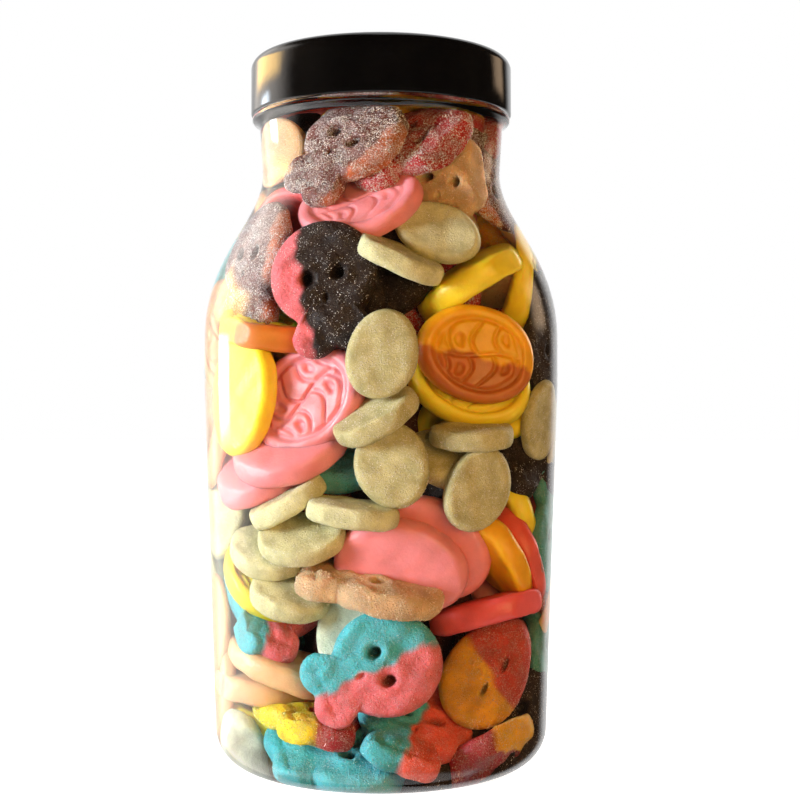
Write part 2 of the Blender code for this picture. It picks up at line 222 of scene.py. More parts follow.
def makeMottleGroup():
    # soft cloudy variation of a sweet's own colour, and a fine uneven height for its skin
    group, given, out = newGroup(
        "softMottle",
        [
            ("Colour", "NodeSocketColor", (0.8, 0.8, 0.8, 1)),
            ("Cloud size", "NodeSocketFloat", 160.0),
            ("Cloud depth", "NodeSocketFloat", 0.35),
            ("Skin size", "NodeSocketFloat", 1400.0),
        ],
        [("Colour", "NodeSocketColor"), ("Height", "NodeSocketFloat"), ("Cloud", "NodeSocketFloat")],
    )
    link = group.links.new
    place = addNode(group, "ShaderNodeTexCoord")
    cloud = addNode(group, "ShaderNodeTexNoise", {"Detail": 4.0, "Roughness": 0.6})
    link(place.outputs["Object"], cloud.inputs["Vector"])
    link(given.outputs["Cloud size"], cloud.inputs["Scale"])
    spread = addNode(group, "ShaderNodeMapRange", {"From Min": 0.3, "From Max": 0.7})
    link(cloud.outputs["Fac"], spread.inputs["Value"])
    darker = addNode(group, "ShaderNodeMath", operation="SUBTRACT")
    darker.inputs[0].default_value = 1.0
    link(given.outputs["Cloud depth"], darker.inputs[1])
    lighter = addNode(group, "ShaderNodeMath", operation="ADD")
    lighter.inputs[0].default_value = 1.0
    link(given.outputs["Cloud depth"], lighter.inputs[1])
    level = addNode(group, "ShaderNodeMapRange")
    link(spread.outputs["Result"], level.inputs["Value"])
    link(darker.outputs[0], level.inputs["To Min"])
    link(lighter.outputs[0], level.inputs["To Max"])
    tinted = addNode(group, "ShaderNodeVectorMath", operation="SCALE")
    link(given.outputs["Colour"], tinted.inputs[0])
    link(level.outputs["Result"], tinted.inputs["Scale"])
    skin = addNode(group, "ShaderNodeTexNoise", {"Detail": 3.0, "Roughness": 0.55})
    link(place.outputs["Object"], skin.inputs["Vector"])
    link(given.outputs["Skin size"], skin.inputs["Scale"])
    link(tinted.outputs[0], out.inputs["Colour"])
    link(skin.outputs["Fac"], out.inputs["Height"])
    link(spread.outputs["Result"], out.inputs["Cloud"])
    return group


def makeSugarGroup():
    # separate crystals: each cell of a Voronoi pattern is a grain, kept or left out by its own random colour,
    # in two sizes, thicker where a slow noise is high
    group, given, out = newGroup(
        "sugarCoat",
        [("Grain size", "NodeSocketFloat", 1500.0), ("Cover", "NodeSocketFloat", 0.5)],
        [("Mask", "NodeSocketFloat"), ("Height", "NodeSocketFloat"), ("Glint", "NodeSocketFloat")],
    )
    link = group.links.new
    place = addNode(group, "ShaderNodeTexCoord")
    patches = addNode(group, "ShaderNodeTexNoise", {"Scale": 150.0, "Detail": 3.0, "Roughness": 0.6})
    link(place.outputs["Object"], patches.inputs["Vector"])
    spread = {"From Min": 0.36, "From Max": 0.62, "To Min": 0.15, "To Max": 1.6}
    uneven = addNode(group, "ShaderNodeMapRange", spread)
    link(patches.outputs["Fac"], uneven.inputs["Value"])
    cover = addNode(group, "ShaderNodeMath", operation="MULTIPLY")
    link(given.outputs["Cover"], cover.inputs[0])
    link(uneven.outputs["Result"], cover.inputs[1])
    masks, glints = [], []
    for finer in (1.0, 1.9):
        size = addNode(group, "ShaderNodeMath", operation="MULTIPLY")
        size.inputs[1].default_value = finer
        link(given.outputs["Grain size"], size.inputs[0])
        cells = addNode(group, "ShaderNodeTexVoronoi", {"Randomness": 1.0})
        link(place.outputs["Object"], cells.inputs["Vector"])
        link(size.outputs[0], cells.inputs["Scale"])
        lucky = addNode(group, "ShaderNodeSeparateColor")
        link(cells.outputs["Color"], lucky.inputs[0])
        kept = addNode(group, "ShaderNodeMath", operation="LESS_THAN")
        link(lucky.outputs[0], kept.inputs[0])
        link(cover.outputs[0], kept.inputs[1])
        falling = {"From Min": 0.15, "From Max": 0.6, "To Min": 1.0, "To Max": 0.0}
        hump = addNode(group, "ShaderNodeMapRange", falling)
        link(cells.outputs["Distance"], hump.inputs["Value"])
        shown = addNode(group, "ShaderNodeMath", operation="MULTIPLY")
        link(kept.outputs[0], shown.inputs[0])
        link(hump.outputs["Result"], shown.inputs[1])
        evenness = addNode(group, "ShaderNodeMapRange", {"To Min": 0.3, "To Max": 1.0})
        link(lucky.outputs[2], evenness.inputs["Value"])
        mask = addNode(group, "ShaderNodeMath", operation="MULTIPLY")
        link(shown.outputs[0], mask.inputs[0])
        link(evenness.outputs["Result"], mask.inputs[1])
        masks.append(mask)
        rare = addNode(group, "ShaderNodeMath", operation="GREATER_THAN")
        rare.inputs[1].default_value = 0.9
        link(lucky.outputs[1], rare.inputs[0])
        glint = addNode(group, "ShaderNodeMath", operation="MULTIPLY")
        link(rare.outputs[0], glint.inputs[0])
        link(mask.outputs[0], glint.inputs[1])
        glints.append(glint)
    for pair, label in ((masks, "Mask"), (glints, "Glint")):
        both = addNode(group, "ShaderNodeMath", operation="MAXIMUM")
        link(pair[0].outputs[0], both.inputs[0])
        link(pair[1].outputs[0], both.inputs[1])
        link(both.outputs[0], out.inputs[label])
        if label == "Mask":
            link(both.outputs[0], out.inputs["Height"])
    return group


mottleGroup = makeMottleGroup()
sugarGroup = makeSugarGroup()


def makeSweetMaterial(name, plan):
    # the sweet's own colour from its points, mottled, with sugar grains on top; light goes in a little
    made, tree, shader = newMaterial(name)
    link = tree.links.new
    tint = addNode(tree, "ShaderNodeAttribute", attribute_name="tint")
    mottle = addNode(tree, "ShaderNodeGroup", node_tree=mottleGroup)
    mottle.inputs["Cloud size"].default_value = plan["cloudSize"]
    mottle.inputs["Cloud depth"].default_value = plan["cloudDepth"]
    mottle.inputs["Skin size"].default_value = plan["skinSize"]
    link(tint.outputs["Color"], mottle.inputs["Colour"])
    sugar = addNode(tree, "ShaderNodeGroup", node_tree=sugarGroup)
    sugar.inputs["Grain size"].default_value = plan["grainSize"]
    sugar.inputs["Cover"].default_value = plan["grainCover"]
    white = addNode(tree, "ShaderNodeMix", data_type="RGBA")
    white.inputs[7].default_value = (*plan["grainColour"], 1)
    strength = addNode(tree, "ShaderNodeMath", operation="MULTIPLY")
    strength.inputs[1].default_value = plan["grainStrength"]
    link(sugar.outputs["Mask"], strength.inputs[0])
    link(strength.outputs[0], white.inputs[0])
    link(mottle.outputs["Colour"], white.inputs[6])
    # painted highlights: the rare glint grains are turned near white in the base colour and made smoother
    glint = addNode(tree, "ShaderNodeMath", operation="MULTIPLY")
    glint.inputs[1].default_value = plan["glint"]
    link(sugar.outputs["Glint"], glint.inputs[0])
    bright = addNode(tree, "ShaderNodeMix", data_type="RGBA")
    bright.inputs[7].default_value = (0.95, 0.93, 0.9, 1)
    link(glint.outputs[0], bright.inputs[0])
    link(white.outputs[2], bright.inputs[6])
    link(bright.outputs[2], shader.inputs["Base Color"])
    limits = {"To Min": plan["roughness"] - 0.08, "To Max": plan["roughness"] + 0.1}
    rough = addNode(tree, "ShaderNodeMapRange", limits)
    link(mottle.outputs["Cloud"], rough.inputs["Value"])
    smoother = addNode(tree, "ShaderNodeMix", data_type="FLOAT")
    smoother.inputs[3].default_value = 0.2
    link(glint.outputs[0], smoother.inputs[0])
    link(rough.outputs["Result"], smoother.inputs[2])
    link(smoother.outputs[0], shader.inputs["Roughness"])
    skinBump = addNode(tree, "ShaderNodeBump", {"Strength": plan["skinBump"], "Distance": plan["skinDepth"]})
    link(mottle.outputs["Height"], skinBump.inputs["Height"])
    grains = {"Strength": plan["grainBump"], "Distance": plan["grainDepth"]}
    grainBump = addNode(tree, "ShaderNodeBump", grains)
    link(sugar.outputs["Height"], grainBump.inputs["Height"])
    link(skinBump.outputs["Normal"], grainBump.inputs["Normal"])
    link(grainBump.outputs["Normal"], shader.inputs["Normal"])
    shader.inputs["Subsurface Weight"].default_value = plan["glow"]
    shader.inputs["Subsurface Radius"].default_value = plan["glowRadius"]
    shader.inputs["Subsurface Scale"].default_value = plan["glowDepth"]
    shader.inputs["Specular IOR Level"].default_value = plan["shine"]
    return made


# jar
jarFinish = {
    "colour": (0.985, 0.985, 0.98, 1),
    "roughness": 0.02,
    "ior": 1.5,
    "waves": 26.0,
    "waveDepth": 0.0004,
}


def makeClearPlastic():
    # clear moulded plastic with faint waves; shadow, diffuse and glossy rays go straight through it, so that
    # the sweets are lit
    made, tree, shader = newMaterial("clearPlastic")
    link = tree.links.new
    shader.inputs["Base Color"].default_value = jarFinish["colour"]
    shader.inputs["Roughness"].default_value = jarFinish["roughness"]
    shader.inputs["IOR"].default_value = jarFinish["ior"]
    shader.inputs["Transmission Weight"].default_value = 1.0
    place = addNode(tree, "ShaderNodeTexCoord")
    waves = addNode(tree, "ShaderNodeTexNoise", {"Scale": jarFinish["waves"], "Detail": 1.0})
    link(place.outputs["Object"], waves.inputs["Vector"])
    bump = addNode(tree, "ShaderNodeBump", {"Strength": 0.35, "Distance": jarFinish["waveDepth"]})
    link(waves.outputs["Fac"], bump.inputs["Height"])
    link(bump.outputs["Normal"], shader.inputs["Normal"])
    rays = addNode(tree, "ShaderNodeLightPath")
    some = addNode(tree, "ShaderNodeMath", operation="MAXIMUM")
    link(rays.outputs["Is Shadow Ray"], some.inputs[0])
    link(rays.outputs["Is Diffuse Ray"], some.inputs[1])
    either = addNode(tree, "ShaderNodeMath", operation="MAXIMUM")
    link(some.outputs[0], either.inputs[0])
    link(rays.outputs["Is Glossy Ray"], either.inputs[1])
    through = addNode(tree, "ShaderNodeBsdfTransparent")
    mix = addNode(tree, "ShaderNodeMixShader")
    link(either.outputs[0], mix.inputs[0])
    link(shader.outputs[0], mix.inputs[1])
    link(through.outputs[0], mix.inputs[2])
    link(mix.outputs[0], tree.nodes["Material Output"].inputs["Surface"])
    return made


def buildJar():
    # one closed outline turned round the axis: foot, outside, collar and rim, then the inside back down
    p = jarPlan
    foot = [
        (0.0, p["footDome"]),
        (p["footInner"] * 0.28, p["footDome"] * 0.95),
        (p["footInner"] * 0.55, p["footDome"] * 0.8),
        (p["footInner"] * 0.78, p["footDome"] * 0.52),
        (p["footInner"] - 3.0, p["footDome"] * 0.3),
        (p["footInner"] - 0.8, 0.3),
        (p["footInner"], 0.0),
    ]
    collar = [
        (p["collarFootRadius"] + 0.5, p["collarLow"] - 1.0),
        (p["collarRadius"] - 0.5, p["collarLow"] - 0.1),
        (p["collarRadius"], p["collarLow"] + 0.5),
        (p["collarRadius"], p["collarHigh"] - 0.5),
        (p["collarRadius"] - 0.5, p["collarHigh"]),
        (p["finishRadius"], p["collarHigh"]),
        (p["finishRadius"], p["rim"] - 0.4),
        (p["finishRadius"] - 0.4, p["rim"]),
    ]
    floor = [(r, h + p["wall"]) for r, h in foot[5::-1]]
    outline = np.concatenate([foot, bodyOutline(14, 40), collar, innerOutline(14, 40)[::-1], floor])
    jar = turnedPiece("clearJar", outline, p["sides"])
    jar.data.materials.append(makeClearPlastic())
    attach(jar, "root")
    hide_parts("jar")
    print("jar", len(jar.data.polygons), "faces")


buildJar()

# lid
lidPlan = {
    "radius": 46.5,
    "low": 229.6,
    "top": 250.0,
    "edge": 4.3,
    "wall": 1.3,
    "panel": 38.0,
    "panelDepth": 0.6,
    "roof": 248.3,
    "sides": 224,
    "colour": (0.006, 0.006, 0.007),
    "roughness": 0.11,
}


def makeBlackPlastic():
    # glossy black plastic with a faint orange peel and a few paler rubbed clouds
    made, tree, shader = newMaterial("blackPlastic")
    link = tree.links.new
    place = addNode(tree, "ShaderNodeTexCoord")
    clouds = addNode(tree, "ShaderNodeTexNoise", {"Scale": 38.0, "Detail": 5.0, "Roughness": 0.65})
    link(place.outputs["Object"], clouds.inputs["Vector"])
    ramp = addNode(tree, "ShaderNodeMapRange", {"From Min": 0.45, "From Max": 0.75})
    link(clouds.outputs["Fac"], ramp.inputs["Value"])
    shade = addNode(tree, "ShaderNodeMix", data_type="RGBA")
    shade.inputs[6].default_value = (*lidPlan["colour"], 1)
    shade.inputs[7].default_value = (0.016, 0.015, 0.015, 1)
    link(ramp.outputs["Result"], shade.inputs[0])
    link(shade.outputs[2], shader.inputs["Base Color"])
    limits = {"To Min": lidPlan["roughness"] - 0.02, "To Max": lidPlan["roughness"] + 0.1}
    rough = addNode(tree, "ShaderNodeMapRange", limits)
    link(ramp.outputs["Result"], rough.inputs["Value"])
    link(rough.outputs["Result"], shader.inputs["Roughness"])
    peel = addNode(tree, "ShaderNodeTexNoise", {"Scale": 420.0, "Detail": 2.0})
    link(place.outputs["Object"], peel.inputs["Vector"])
    bump = addNode(tree, "ShaderNodeBump", {"Strength": 0.12, "Distance": 0.0002})
    link(peel.outputs["Fac"], bump.inputs["Height"])
    link(bump.outputs["Normal"], shader.inputs["Normal"])
    return made


def buildLid():
    # from the middle of the top, over the round edge, down the side and back up inside to the roof
    p = lidPlan
    sunk, inside = p["top"] - p["panelDepth"], p["radius"] - p["wall"]
    rounded = arcPoints((p["radius"] - p["edge"], p["top"] - p["edge"]), p["edge"], 90, 0, 12)
    outline = np.concatenate(
        [
            [(0.0, sunk), (p["panel"] * 0.5, sunk)],
            [(p["panel"] - 0.4, sunk), (p["panel"] + 0.2, p["top"] - p["panelDepth"] * 0.7)],
            [(p["panel"] + 0.9, p["top"] - 0.05), (p["panel"] + 1.4, p["top"])],
            [(p["radius"] - p["edge"], p["top"])],
            rounded,
            [(p["radius"], p["low"] + 0.6), (p["radius"] - 0.2, p["low"] + 0.15)],
            [(p["radius"] - 0.6, p["low"])],
            [(inside, p["low"]), (inside, p["roof"] - 1.4)],
            [(inside - 1.4, p["roof"]), (0.0, p["roof"])],
        ]
    )
    lid = turnedPiece("screwLid", outline[::-1], p["sides"])
    lid.data.materials.append(makeBlackPlastic())
    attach(lid, "root")
    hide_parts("lid")
    print("lid", len(lid.data.polygons), "faces")


buildLid()

# sweets: where they lie. Each shell is a depth behind the wall, the angle at the front left clear, the
# spacing round and the spacing up
heapPlan = {
    "halfSizes": {
        "oval": (20.4, 15.9, 5.0),
        "disc": (14.4, 11.2, 4.5),
        "skull": (22.4, 17.0, 5.2),
        "round": (20.0, 15.0, 5.4),
    },
    "wallGap": 0.95,
    "floorGap": 0.5,
    "top": 240.0,
    "shells": ((7.5, 68, 31, 21.0), (22.0, 66, 34, 25.0), (37.0, 0, 40, 36.0)),
    "seed": 7,
    "colourSeed": 21,
    "shapeSeed": 40,
}

# how the sweets settle: the share of each push, turn or pull that is taken in one step, and the gap in
# millimetres at which two sweets are looked at as neighbours
settlePlan = {
    "steps": 160,
    "lookEvery": 8,
    "lookGap": 1.0,
    "give": 0.55,
    "heldGive": 0.7,
    "heldSoft": 0.35,
    "pull": 0.14,
    "pullAxes": (1.0, 0.3, 1.0),
    "twist": 0.7,
    "heldTwist": 0.4,
    "untwist": 0.5,
}

# front sweets: kind, colour, millimetres across and up, depth behind the wall, then roll, pitch and yaw
frontSweets = (
    ("skull", "cola", -10, 211, 7, 50, 42, 0),
    ("skull", "berry", 11, 211, 10, 33, 50, 0),
    ("skull", "berry", 25, 222, 14, 22, 42, 0),
    ("oval", "rose", -6, 191, 7, 15, 44, 0),
    ("skull", "toffee", 22, 199, 8, 70, 15, 0),
    ("skull", "cola", 37, 203, 4, -70, 50, 0),
    ("disc", "sand", -32, 215, 8, 76, -30, 180),
    ("oval", "coral", -28, 179, 18, 95, 30, 0),
    ("skull", "lemonberry", 10, 225, 20, 10, 20, 0),
    ("skull", "cola", -39, 172, 6, 94, 66, 0),
    ("skull", "pinkliquorice", -16, 165, 6, 99, 4, 0),
    ("disc", "cream", 17, 183, 8, -26, 30, 0),
    ("disc", "cream", 9, 193, 20, -28, 34, 0),
    ("disc", "cream", 4, 175, 12, -24, 82, 0),
    ("skull", "mintliquorice", 1, 167, 24, 70, 20, 0),
    ("skull", "berry", 7, 162, 28, 20, 10, 0),
    ("oval", "lemon", 29, 167, 12, 20, -80, 180),
    ("oval", "lemon", 46, 169, 8, 48, -66, 180),
    ("skull", "berry", 44, 158, 20, 30, 20, 0),
    ("skull", "liquorice", 52, 149, 7, -82, 56, 0),
    ("skull", "mint", -51, 159, 12, 60, 40, 0),
    ("oval", "lemonamber", -33, 151, 11, -8, 70, 0),
    ("disc", "pear", 1, 143, 5, 72, 0, 0),
    ("oval", "goldorange", 32, 143, 6, -12, 6, 8),
    ("oval", "lemon", 27, 133, 12, -18, 22, 0),
    ("oval", "lemon", -44, 130, 4, 77, -50, 180),
    ("oval", "pink", -20, 128, 16, 45, 10, -14),
    ("oval", "pink", -29, 111, 15, 20, -56, 180),
    ("oval", "pink", -36, 104, 8, 16, -62, 180),
    ("disc", "pear", -1, 122, 9, 34, 62, 0),
    ("disc", "pear", 3, 109, 5, 100, 0, 0),
    ("disc", "pear", 29, 116, 10, -8, 54, 0),
    ("disc", "pear", 21, 109, 18, -15, 55, 0),
    ("disc", "pear", 31, 100, 5, 68, -18, 0),
    ("disc", "pear", 53, 122, 5, 56, -46, 0),
    ("skull", "liquorice", 54, 109, 6, 15, 30, 30),
    ("oval", "coral", 50, 94, 13, -72, -66, 180),
    ("oval", "toffee", 57, 88, 12, 60, 20, 0),
    ("skull", "sea", -13, 106, 24, -5, 62, 0),
    ("skull", "berry", -5, 94, 23, -38, 66, 0),
    ("skull", "liquorice", 16, 98, 22, 20, 0, 0),
    ("disc", "cream", -28, 95, 8, 37, 80, 0),
    ("disc", "cream", -10, 92, 10, -28, 84, 0),
    ("disc", "cream", -50, 87, 7, 52, 42, 0),
    ("disc", "cream", -25, 85, 8, -4, 48, 0),
    ("disc", "cream", -36, 77, 7, -5, 46, 0),
    ("disc", "cream", -47, 67, 11, -30, 45, 0),
    ("oval", "lemon", -32, 68, 14, -3, 66, 0),
    ("disc", "cream", -27, 66, 8, 16, 54, 0),
    ("oval", "pink", 6, 76, 12, -20, 14, 180),
    ("oval", "pink", 16, 79, 21, -36, 0, 180),
    ("oval", "gold", 35, 74, 8, -48, 60, 180),
    ("oval", "coral", 43, 76, 11, -50, 54, 180),
    ("skull", "cola", 56, 71, 9, -85, 52, 0),
    ("oval", "toffee", 57, 60, 12, 10, 50, 0),
    ("skull", "mint", 57, 82, 11, -85, 60, 0),
    ("skull", "toffee", -4, 66, 5, -4, 80, 0),
    ("oval", "coral", 37, 59, 5, 15, -88, 180),
    ("disc", "mist", -8, 54, 13, 80, 10, 0),
    ("skull", "mintpink", -35, 59, 6, 65, 0, 44),
    ("oval", "toffee", -30, 40, 8, -24, -84, 180),
    ("oval", "toffee", -40, 29, 10, -12, -84, 180),
    ("oval", "toffee", -47, 17, 12, -4, -84, 180),
    ("oval", "lemon", -52, 38, 13, 10, 50, 0),
    ("oval", "lemon", -31, 23, 22, -6, 80, 0),
    ("skull", "lemonrose", -21, 22, 7, 76, 0, 84),
    ("disc", "mist", -45, 8, 3, 115, 10, -20),
    ("skull", "turquoise", -13, 8, 6, 8, 36, 0),
    ("skull", "mintpink", -2, 42, 5, 26, 4, 0),
    ("round", "honeybrick", 35, 38, 5, 58, 0, 0),
    ("skull", "mintcoral", 11, 19, 10, 65, 0, 62),
    ("skull", "liquorice", 6, 7, 16, 5, 50, 0),
    ("skull", "liquorice", 46, 16, 9, 30, -10, 16),
    ("skull", "liquorice", 57, 25, 7, -80, 46, 0),
    ("skull", "berrylemon", 37, 10, 5, 118, 0, -76),
    ("skull", "mint", 56, 45, 11, -80, 50, 0),
)


def turned(axis, degrees):
    # rotation matrix about x, y or z
    c, s = math.cos(math.radians(degrees)), math.sin(math.radians(degrees))
    return {
        "x": np.array([[1, 0, 0], [0, c, -s], [0, s, c]]),
        "y": np.array([[c, 0, s], [0, 1, 0], [-s, 0, c]]),
        "z": np.array([[c, -s, 0], [s, c, 0], [0, 0, 1]]),
    }[axis]


def facing(roll, pitch, yaw):
    # a sweet seen from the front: its face looks at the viewer, leans up by pitch, turns by yaw, then rolls
    upright = np.array([[1.0, 0, 0], [0, 0, -1.0], [0, 1.0, 0]])
    return turned("y", -roll) @ turned("z", yaw) @ turned("x", -pitch) @ upright


def frontRows():
    # each row stands behind the wall by its depth: y = -sqrt(reach^2 - x^2); the nearer to the wall, the more
    # it weighs: 40 e^((5 - depth) / 2.5) + 5
    rows = []
    for kind, colour, across, up, inset, roll, pitch, yaw in frontSweets:
        reach = float(innerRadius(up)) - inset
        back = -math.sqrt(max(reach * reach - across * across, 1.0))
        weight = 40 * math.exp((5 - inset) / 2.5) + 5
        rows.append((kind, (across, back, up), facing(roll, pitch, yaw), inset, weight, colour))
    return rows


def roundRows(draw):
    # three rough shells of sweets round the sides and back, spaced by rule and nudged by chance
    rows = []
    for inset, clear, spacing, level in heapPlan["shells"]:
        for up in np.arange(8.0, heapPlan["top"] - 6, level):
            reach = float(innerRadius(up)) - inset
            count = int(2 * math.pi * reach / spacing)
            start = draw.random() * 360
            for step in range(count):
                angle = start + 360 * step / count + draw.normal() * 3
                kind = ("oval", "disc", "skull")[draw.integers(3)]
                lean = draw.choice((0, 0, 50, 62, -55)) + draw.normal() * 9
                pose = facing(draw.random() * 180 - 90, lean, draw.choice((0, 180)) + draw.normal() * 10)
                height = up + draw.normal() * 4
                if abs((angle + 180) % 360 - 180) < clear + (14 if clear and up > 185 else 0):
                    continue
                spun = turned("z", angle)
                rows.append((kind, tuple(spun @ (0, -reach, height)), spun @ pose, inset, 1.0, None))
    return rows


def feelers(kind, scale):
    # ten balls stand for a sweet: eight on the rim's ellipse, two inside
    halfLong, halfWide, halfThick = np.array(heapPlan["halfSizes"][kind]) * scale
    turn = np.arange(8) * math.pi / 4
    across, away = (halfLong - halfThick) * np.cos(turn), (halfWide - halfThick) * np.sin(turn)
    rim = np.stack([across, away, 0 * turn], axis=1)
    inside = np.array([(-0.42, 0, 0), (0.42, 0, 0)]) * (halfLong - halfThick)
    return np.concatenate([rim, inside]), halfThick


def smallTurns(amounts):
    # rotation matrices from axis times angle: identity + sine * cross + (1 - cosine) * cross squared
    angle = np.linalg.norm(amounts, axis=1)
    axis = amounts / np.maximum(angle, 1e-9)[:, None]
    cross = np.zeros((len(amounts), 3, 3))
    cross[:, 0, 1], cross[:, 0, 2], cross[:, 1, 2] = -axis[:, 2], axis[:, 1], -axis[:, 0]
    cross -= cross.transpose(0, 2, 1)
    sine, rest = np.sin(angle)[:, None, None], (1 - np.cos(angle))[:, None, None]
    return np.eye(3) + sine * cross + rest * (cross @ cross)


def nearPairs(centres, reach):
    # the pairs of sweets that are nearer to each other than the sum of their reaches
    apart = np.linalg.norm(centres[:, None] - centres[None], axis=2)
    first, second = np.nonzero(apart < reach[:, None] + reach[None])
    return first[first < second], second[first < second]


def wallPush(spots, radii):
    # how far each ball must move to be inside the jar, off the floor and under the lid
    push = np.zeros_like(spots)
    flat = np.linalg.norm(spots[..., :2], axis=2)
    room = innerRadius(spots[..., 2]) - heapPlan["wallGap"] - radii[:, None]
    out = np.maximum(flat - room, 0) / np.maximum(flat, 1e-6)
    push[..., :2] = -spots[..., :2] * out[..., None]
    low = jarPlan["wall"] + heapPlan["floorGap"] + footRise(flat) + radii[:, None]
    high = np.maximum(spots[..., 2] - heapPlan["top"] + radii[:, None], 0)
    push[..., 2] = np.maximum(low - spots[..., 2], 0) - high
    return push


def settle(centres, poses, balls, radii, weights, held):
    # touching balls share out their overlap by weight, and each sweet moves and turns by the mean of its
    # pushes; a held one gives way in depth first, presses softly into other held ones, and is drawn back to
    # its start by a pull that fades with the steps
    p = settlePlan
    reach = np.linalg.norm(balls, axis=2).max(axis=1) + radii
    startCentres, startPoses = centres, poses
    give = p["give"] * (1 - held[:, None] * np.array([p["heldGive"], 0.0, p["heldGive"]]))
    for step in range(p["steps"]):
        if step % p["lookEvery"] == 0:
            first, second = nearPairs(centres, reach + p["lookGap"])
        arms = np.einsum("nij,nkj->nki", poses, balls)
        spots = centres[:, None] + arms
        push = np.zeros_like(spots)
        gap = spots[first][:, :, None] - spots[second][:, None]
        apart = np.linalg.norm(gap, axis=3)
        overlap = np.maximum(radii[first][:, None, None] + radii[second][:, None, None] - apart, 0)
        shove = gap / np.maximum(apart, 1e-6)[..., None] * overlap[..., None]
        shove *= (1 - p["heldSoft"] * held[first] * held[second])[:, None, None, None]
        share = (weights[second] / (weights[first] + weights[second]))[:, None, None]
        np.add.at(push, first, shove.sum(axis=2) * share)
        np.add.at(push, second, -shove.sum(axis=1) * (1 - share))
        push += wallPush(spots, radii)
        hits = np.maximum((np.abs(push).sum(axis=2) > 0).sum(axis=1), 1)[:, None]
        pull = (p["pull"] * held * (1 - step / p["steps"]))[:, None]
        centres = centres + give * push.sum(axis=1) / hits + pull * (startCentres - centres) * p["pullAxes"]
        twist = np.cross(arms, push).sum(axis=1) / (arms**2).sum(axis=(1, 2))[:, None]
        back = startPoses @ poses.transpose(0, 2, 1)
        drift = np.stack([back[:, i, j] - back[:, j, i] for i, j in ((2, 1), (0, 2), (1, 0))], axis=1)
        turn = (p["twist"] - p["heldTwist"] * held)[:, None] * twist + p["untwist"] * pull * drift
        poses = smallTurns(turn) @ poses
    return centres, poses


def keptInside(points, gap):
    # points pressed flat against the wall, the floor and the roof where they would pass through
    points = points.copy()
    points[..., 2] = np.clip(points[..., 2], 0, heapPlan["top"] + 4.0)
    flat = np.linalg.norm(points[..., :2], axis=-1)
    points[..., 2] = np.maximum(points[..., 2], jarPlan["wall"] + gap + footRise(flat))
    room = innerRadius(points[..., 2]) - gap
    points[..., :2] *= np.minimum(room / np.maximum(flat, 1e-6), 1.0)[..., None]
    return points


def heapOfSweets():
    # the front rows and the round ones together, settled: kind, colour, depth, scale, centre and pose of each
    draw = np.random.default_rng(heapPlan["seed"])
    rows = frontRows() + roundRows(draw)
    held = np.array([row[5] is not None for row in rows], float)
    scales = np.where(held > 0, 1.0, draw.uniform(0.94, 1.06, len(rows)))
    fitted = [feelers(row[0], scale) for row, scale in zip(rows, scales)]
    balls = np.array([fit[0] for fit in fitted])
    radii = np.array([fit[1] for fit in fitted])
    centres, poses = settle(
        np.array([row[1] for row in rows], float),
        np.array([row[2] for row in rows]),
        balls,
        radii,
        np.array([row[4] for row in rows]),
        held,
    )
    return [
        {"kind": row[0], "colour": row[5], "inset": row[3], "scale": scale, "centre": centre, "pose": pose}
        for row, scale, centre, pose in zip(rows, scales, centres, poses)
    ]


sweets = heapOfSweets()
print("settled", len(sweets), "sweets")

# sweets: their colours, as the eye sees them, and the two sides of each two coloured one; a few of these are
# painted light or painted shade, as marked
sweetColours = {
    "lemon": (242, 214, 46),
    "gold": (236, 170, 22),
    # painted shade: the darker lower side of a gold oval
    "orange": (188, 104, 34),
    # painted shade: the darker lower side of a lemon oval
    "amber": (200, 118, 40),
    "rust": (176, 96, 58),
    "pink": (230, 140, 146),
    "rose": (230, 96, 98),
    "candy": (220, 106, 114),
    "coral": (226, 92, 76),
    "peach": (222, 172, 120),
    "toffee": (220, 182, 138),
    "sand": (214, 180, 138),
    "pear": (182, 174, 122),
    "mint": (72, 176, 188),
    # painted shade: a darker copy of mint, the second side of the mint skulls
    "mintShade": (78, 146, 136),
    "liquorice": (34, 24, 20),
    "cola": (98, 54, 48),
    "berry": (166, 36, 44),
    "cream": (204, 200, 150),
    # painted reflection: a whiter pale disc colour, for the jar's milky reflection over the lower left
    "mist": (206, 216, 190),
    # painted light: a lighter copy of mint, for a deep skull that lies in shade
    "sea": (112, 204, 208),
    "brick": (186, 54, 36),
    "honey": (222, 154, 14),
}
sweetSides = {
    # a gold oval with painted shade on its lower side
    "goldorange": ("gold", "orange"),
    "gold": ("gold", "gold"),
    # a lemon oval with painted shade on its lower side
    "lemonamber": ("lemon", "amber"),
    "lemon": ("lemon", "lemon"),
    "pink": ("pink", "pink"),
    "rose": ("pink", "pink"),
    "coral": ("coral", "rose"),
    "peach": ("peach", "peach"),
    "toffee": ("toffee", "toffee"),
    "sand": ("sand", "peach"),
    "pear": ("pear", "pear"),
    "cream": ("cream", "cream"),
    "mist": ("mist", "mist"),
    "sea": ("sea", "sea"),
    # mint skulls with painted shade on their second side
    "mint": ("mint", "mintShade"),
    "turquoise": ("mint", "mint"),
    "mintliquorice": ("mint", "liquorice"),
    "mintpink": ("mint", "candy"),
    "mintcoral": ("mint", "coral"),
    "pinkliquorice": ("candy", "liquorice"),
    "liquorice": ("liquorice", "liquorice"),
    "cola": ("cola", "rust"),
    "berry": ("berry", "berry"),
    "lemonberry": ("gold", "berry"),
    "honeybrick": ("honey", "brick"),
    "lemonrose": ("lemon", "berry"),
    "berrylemon": ("berry", "gold"),
}
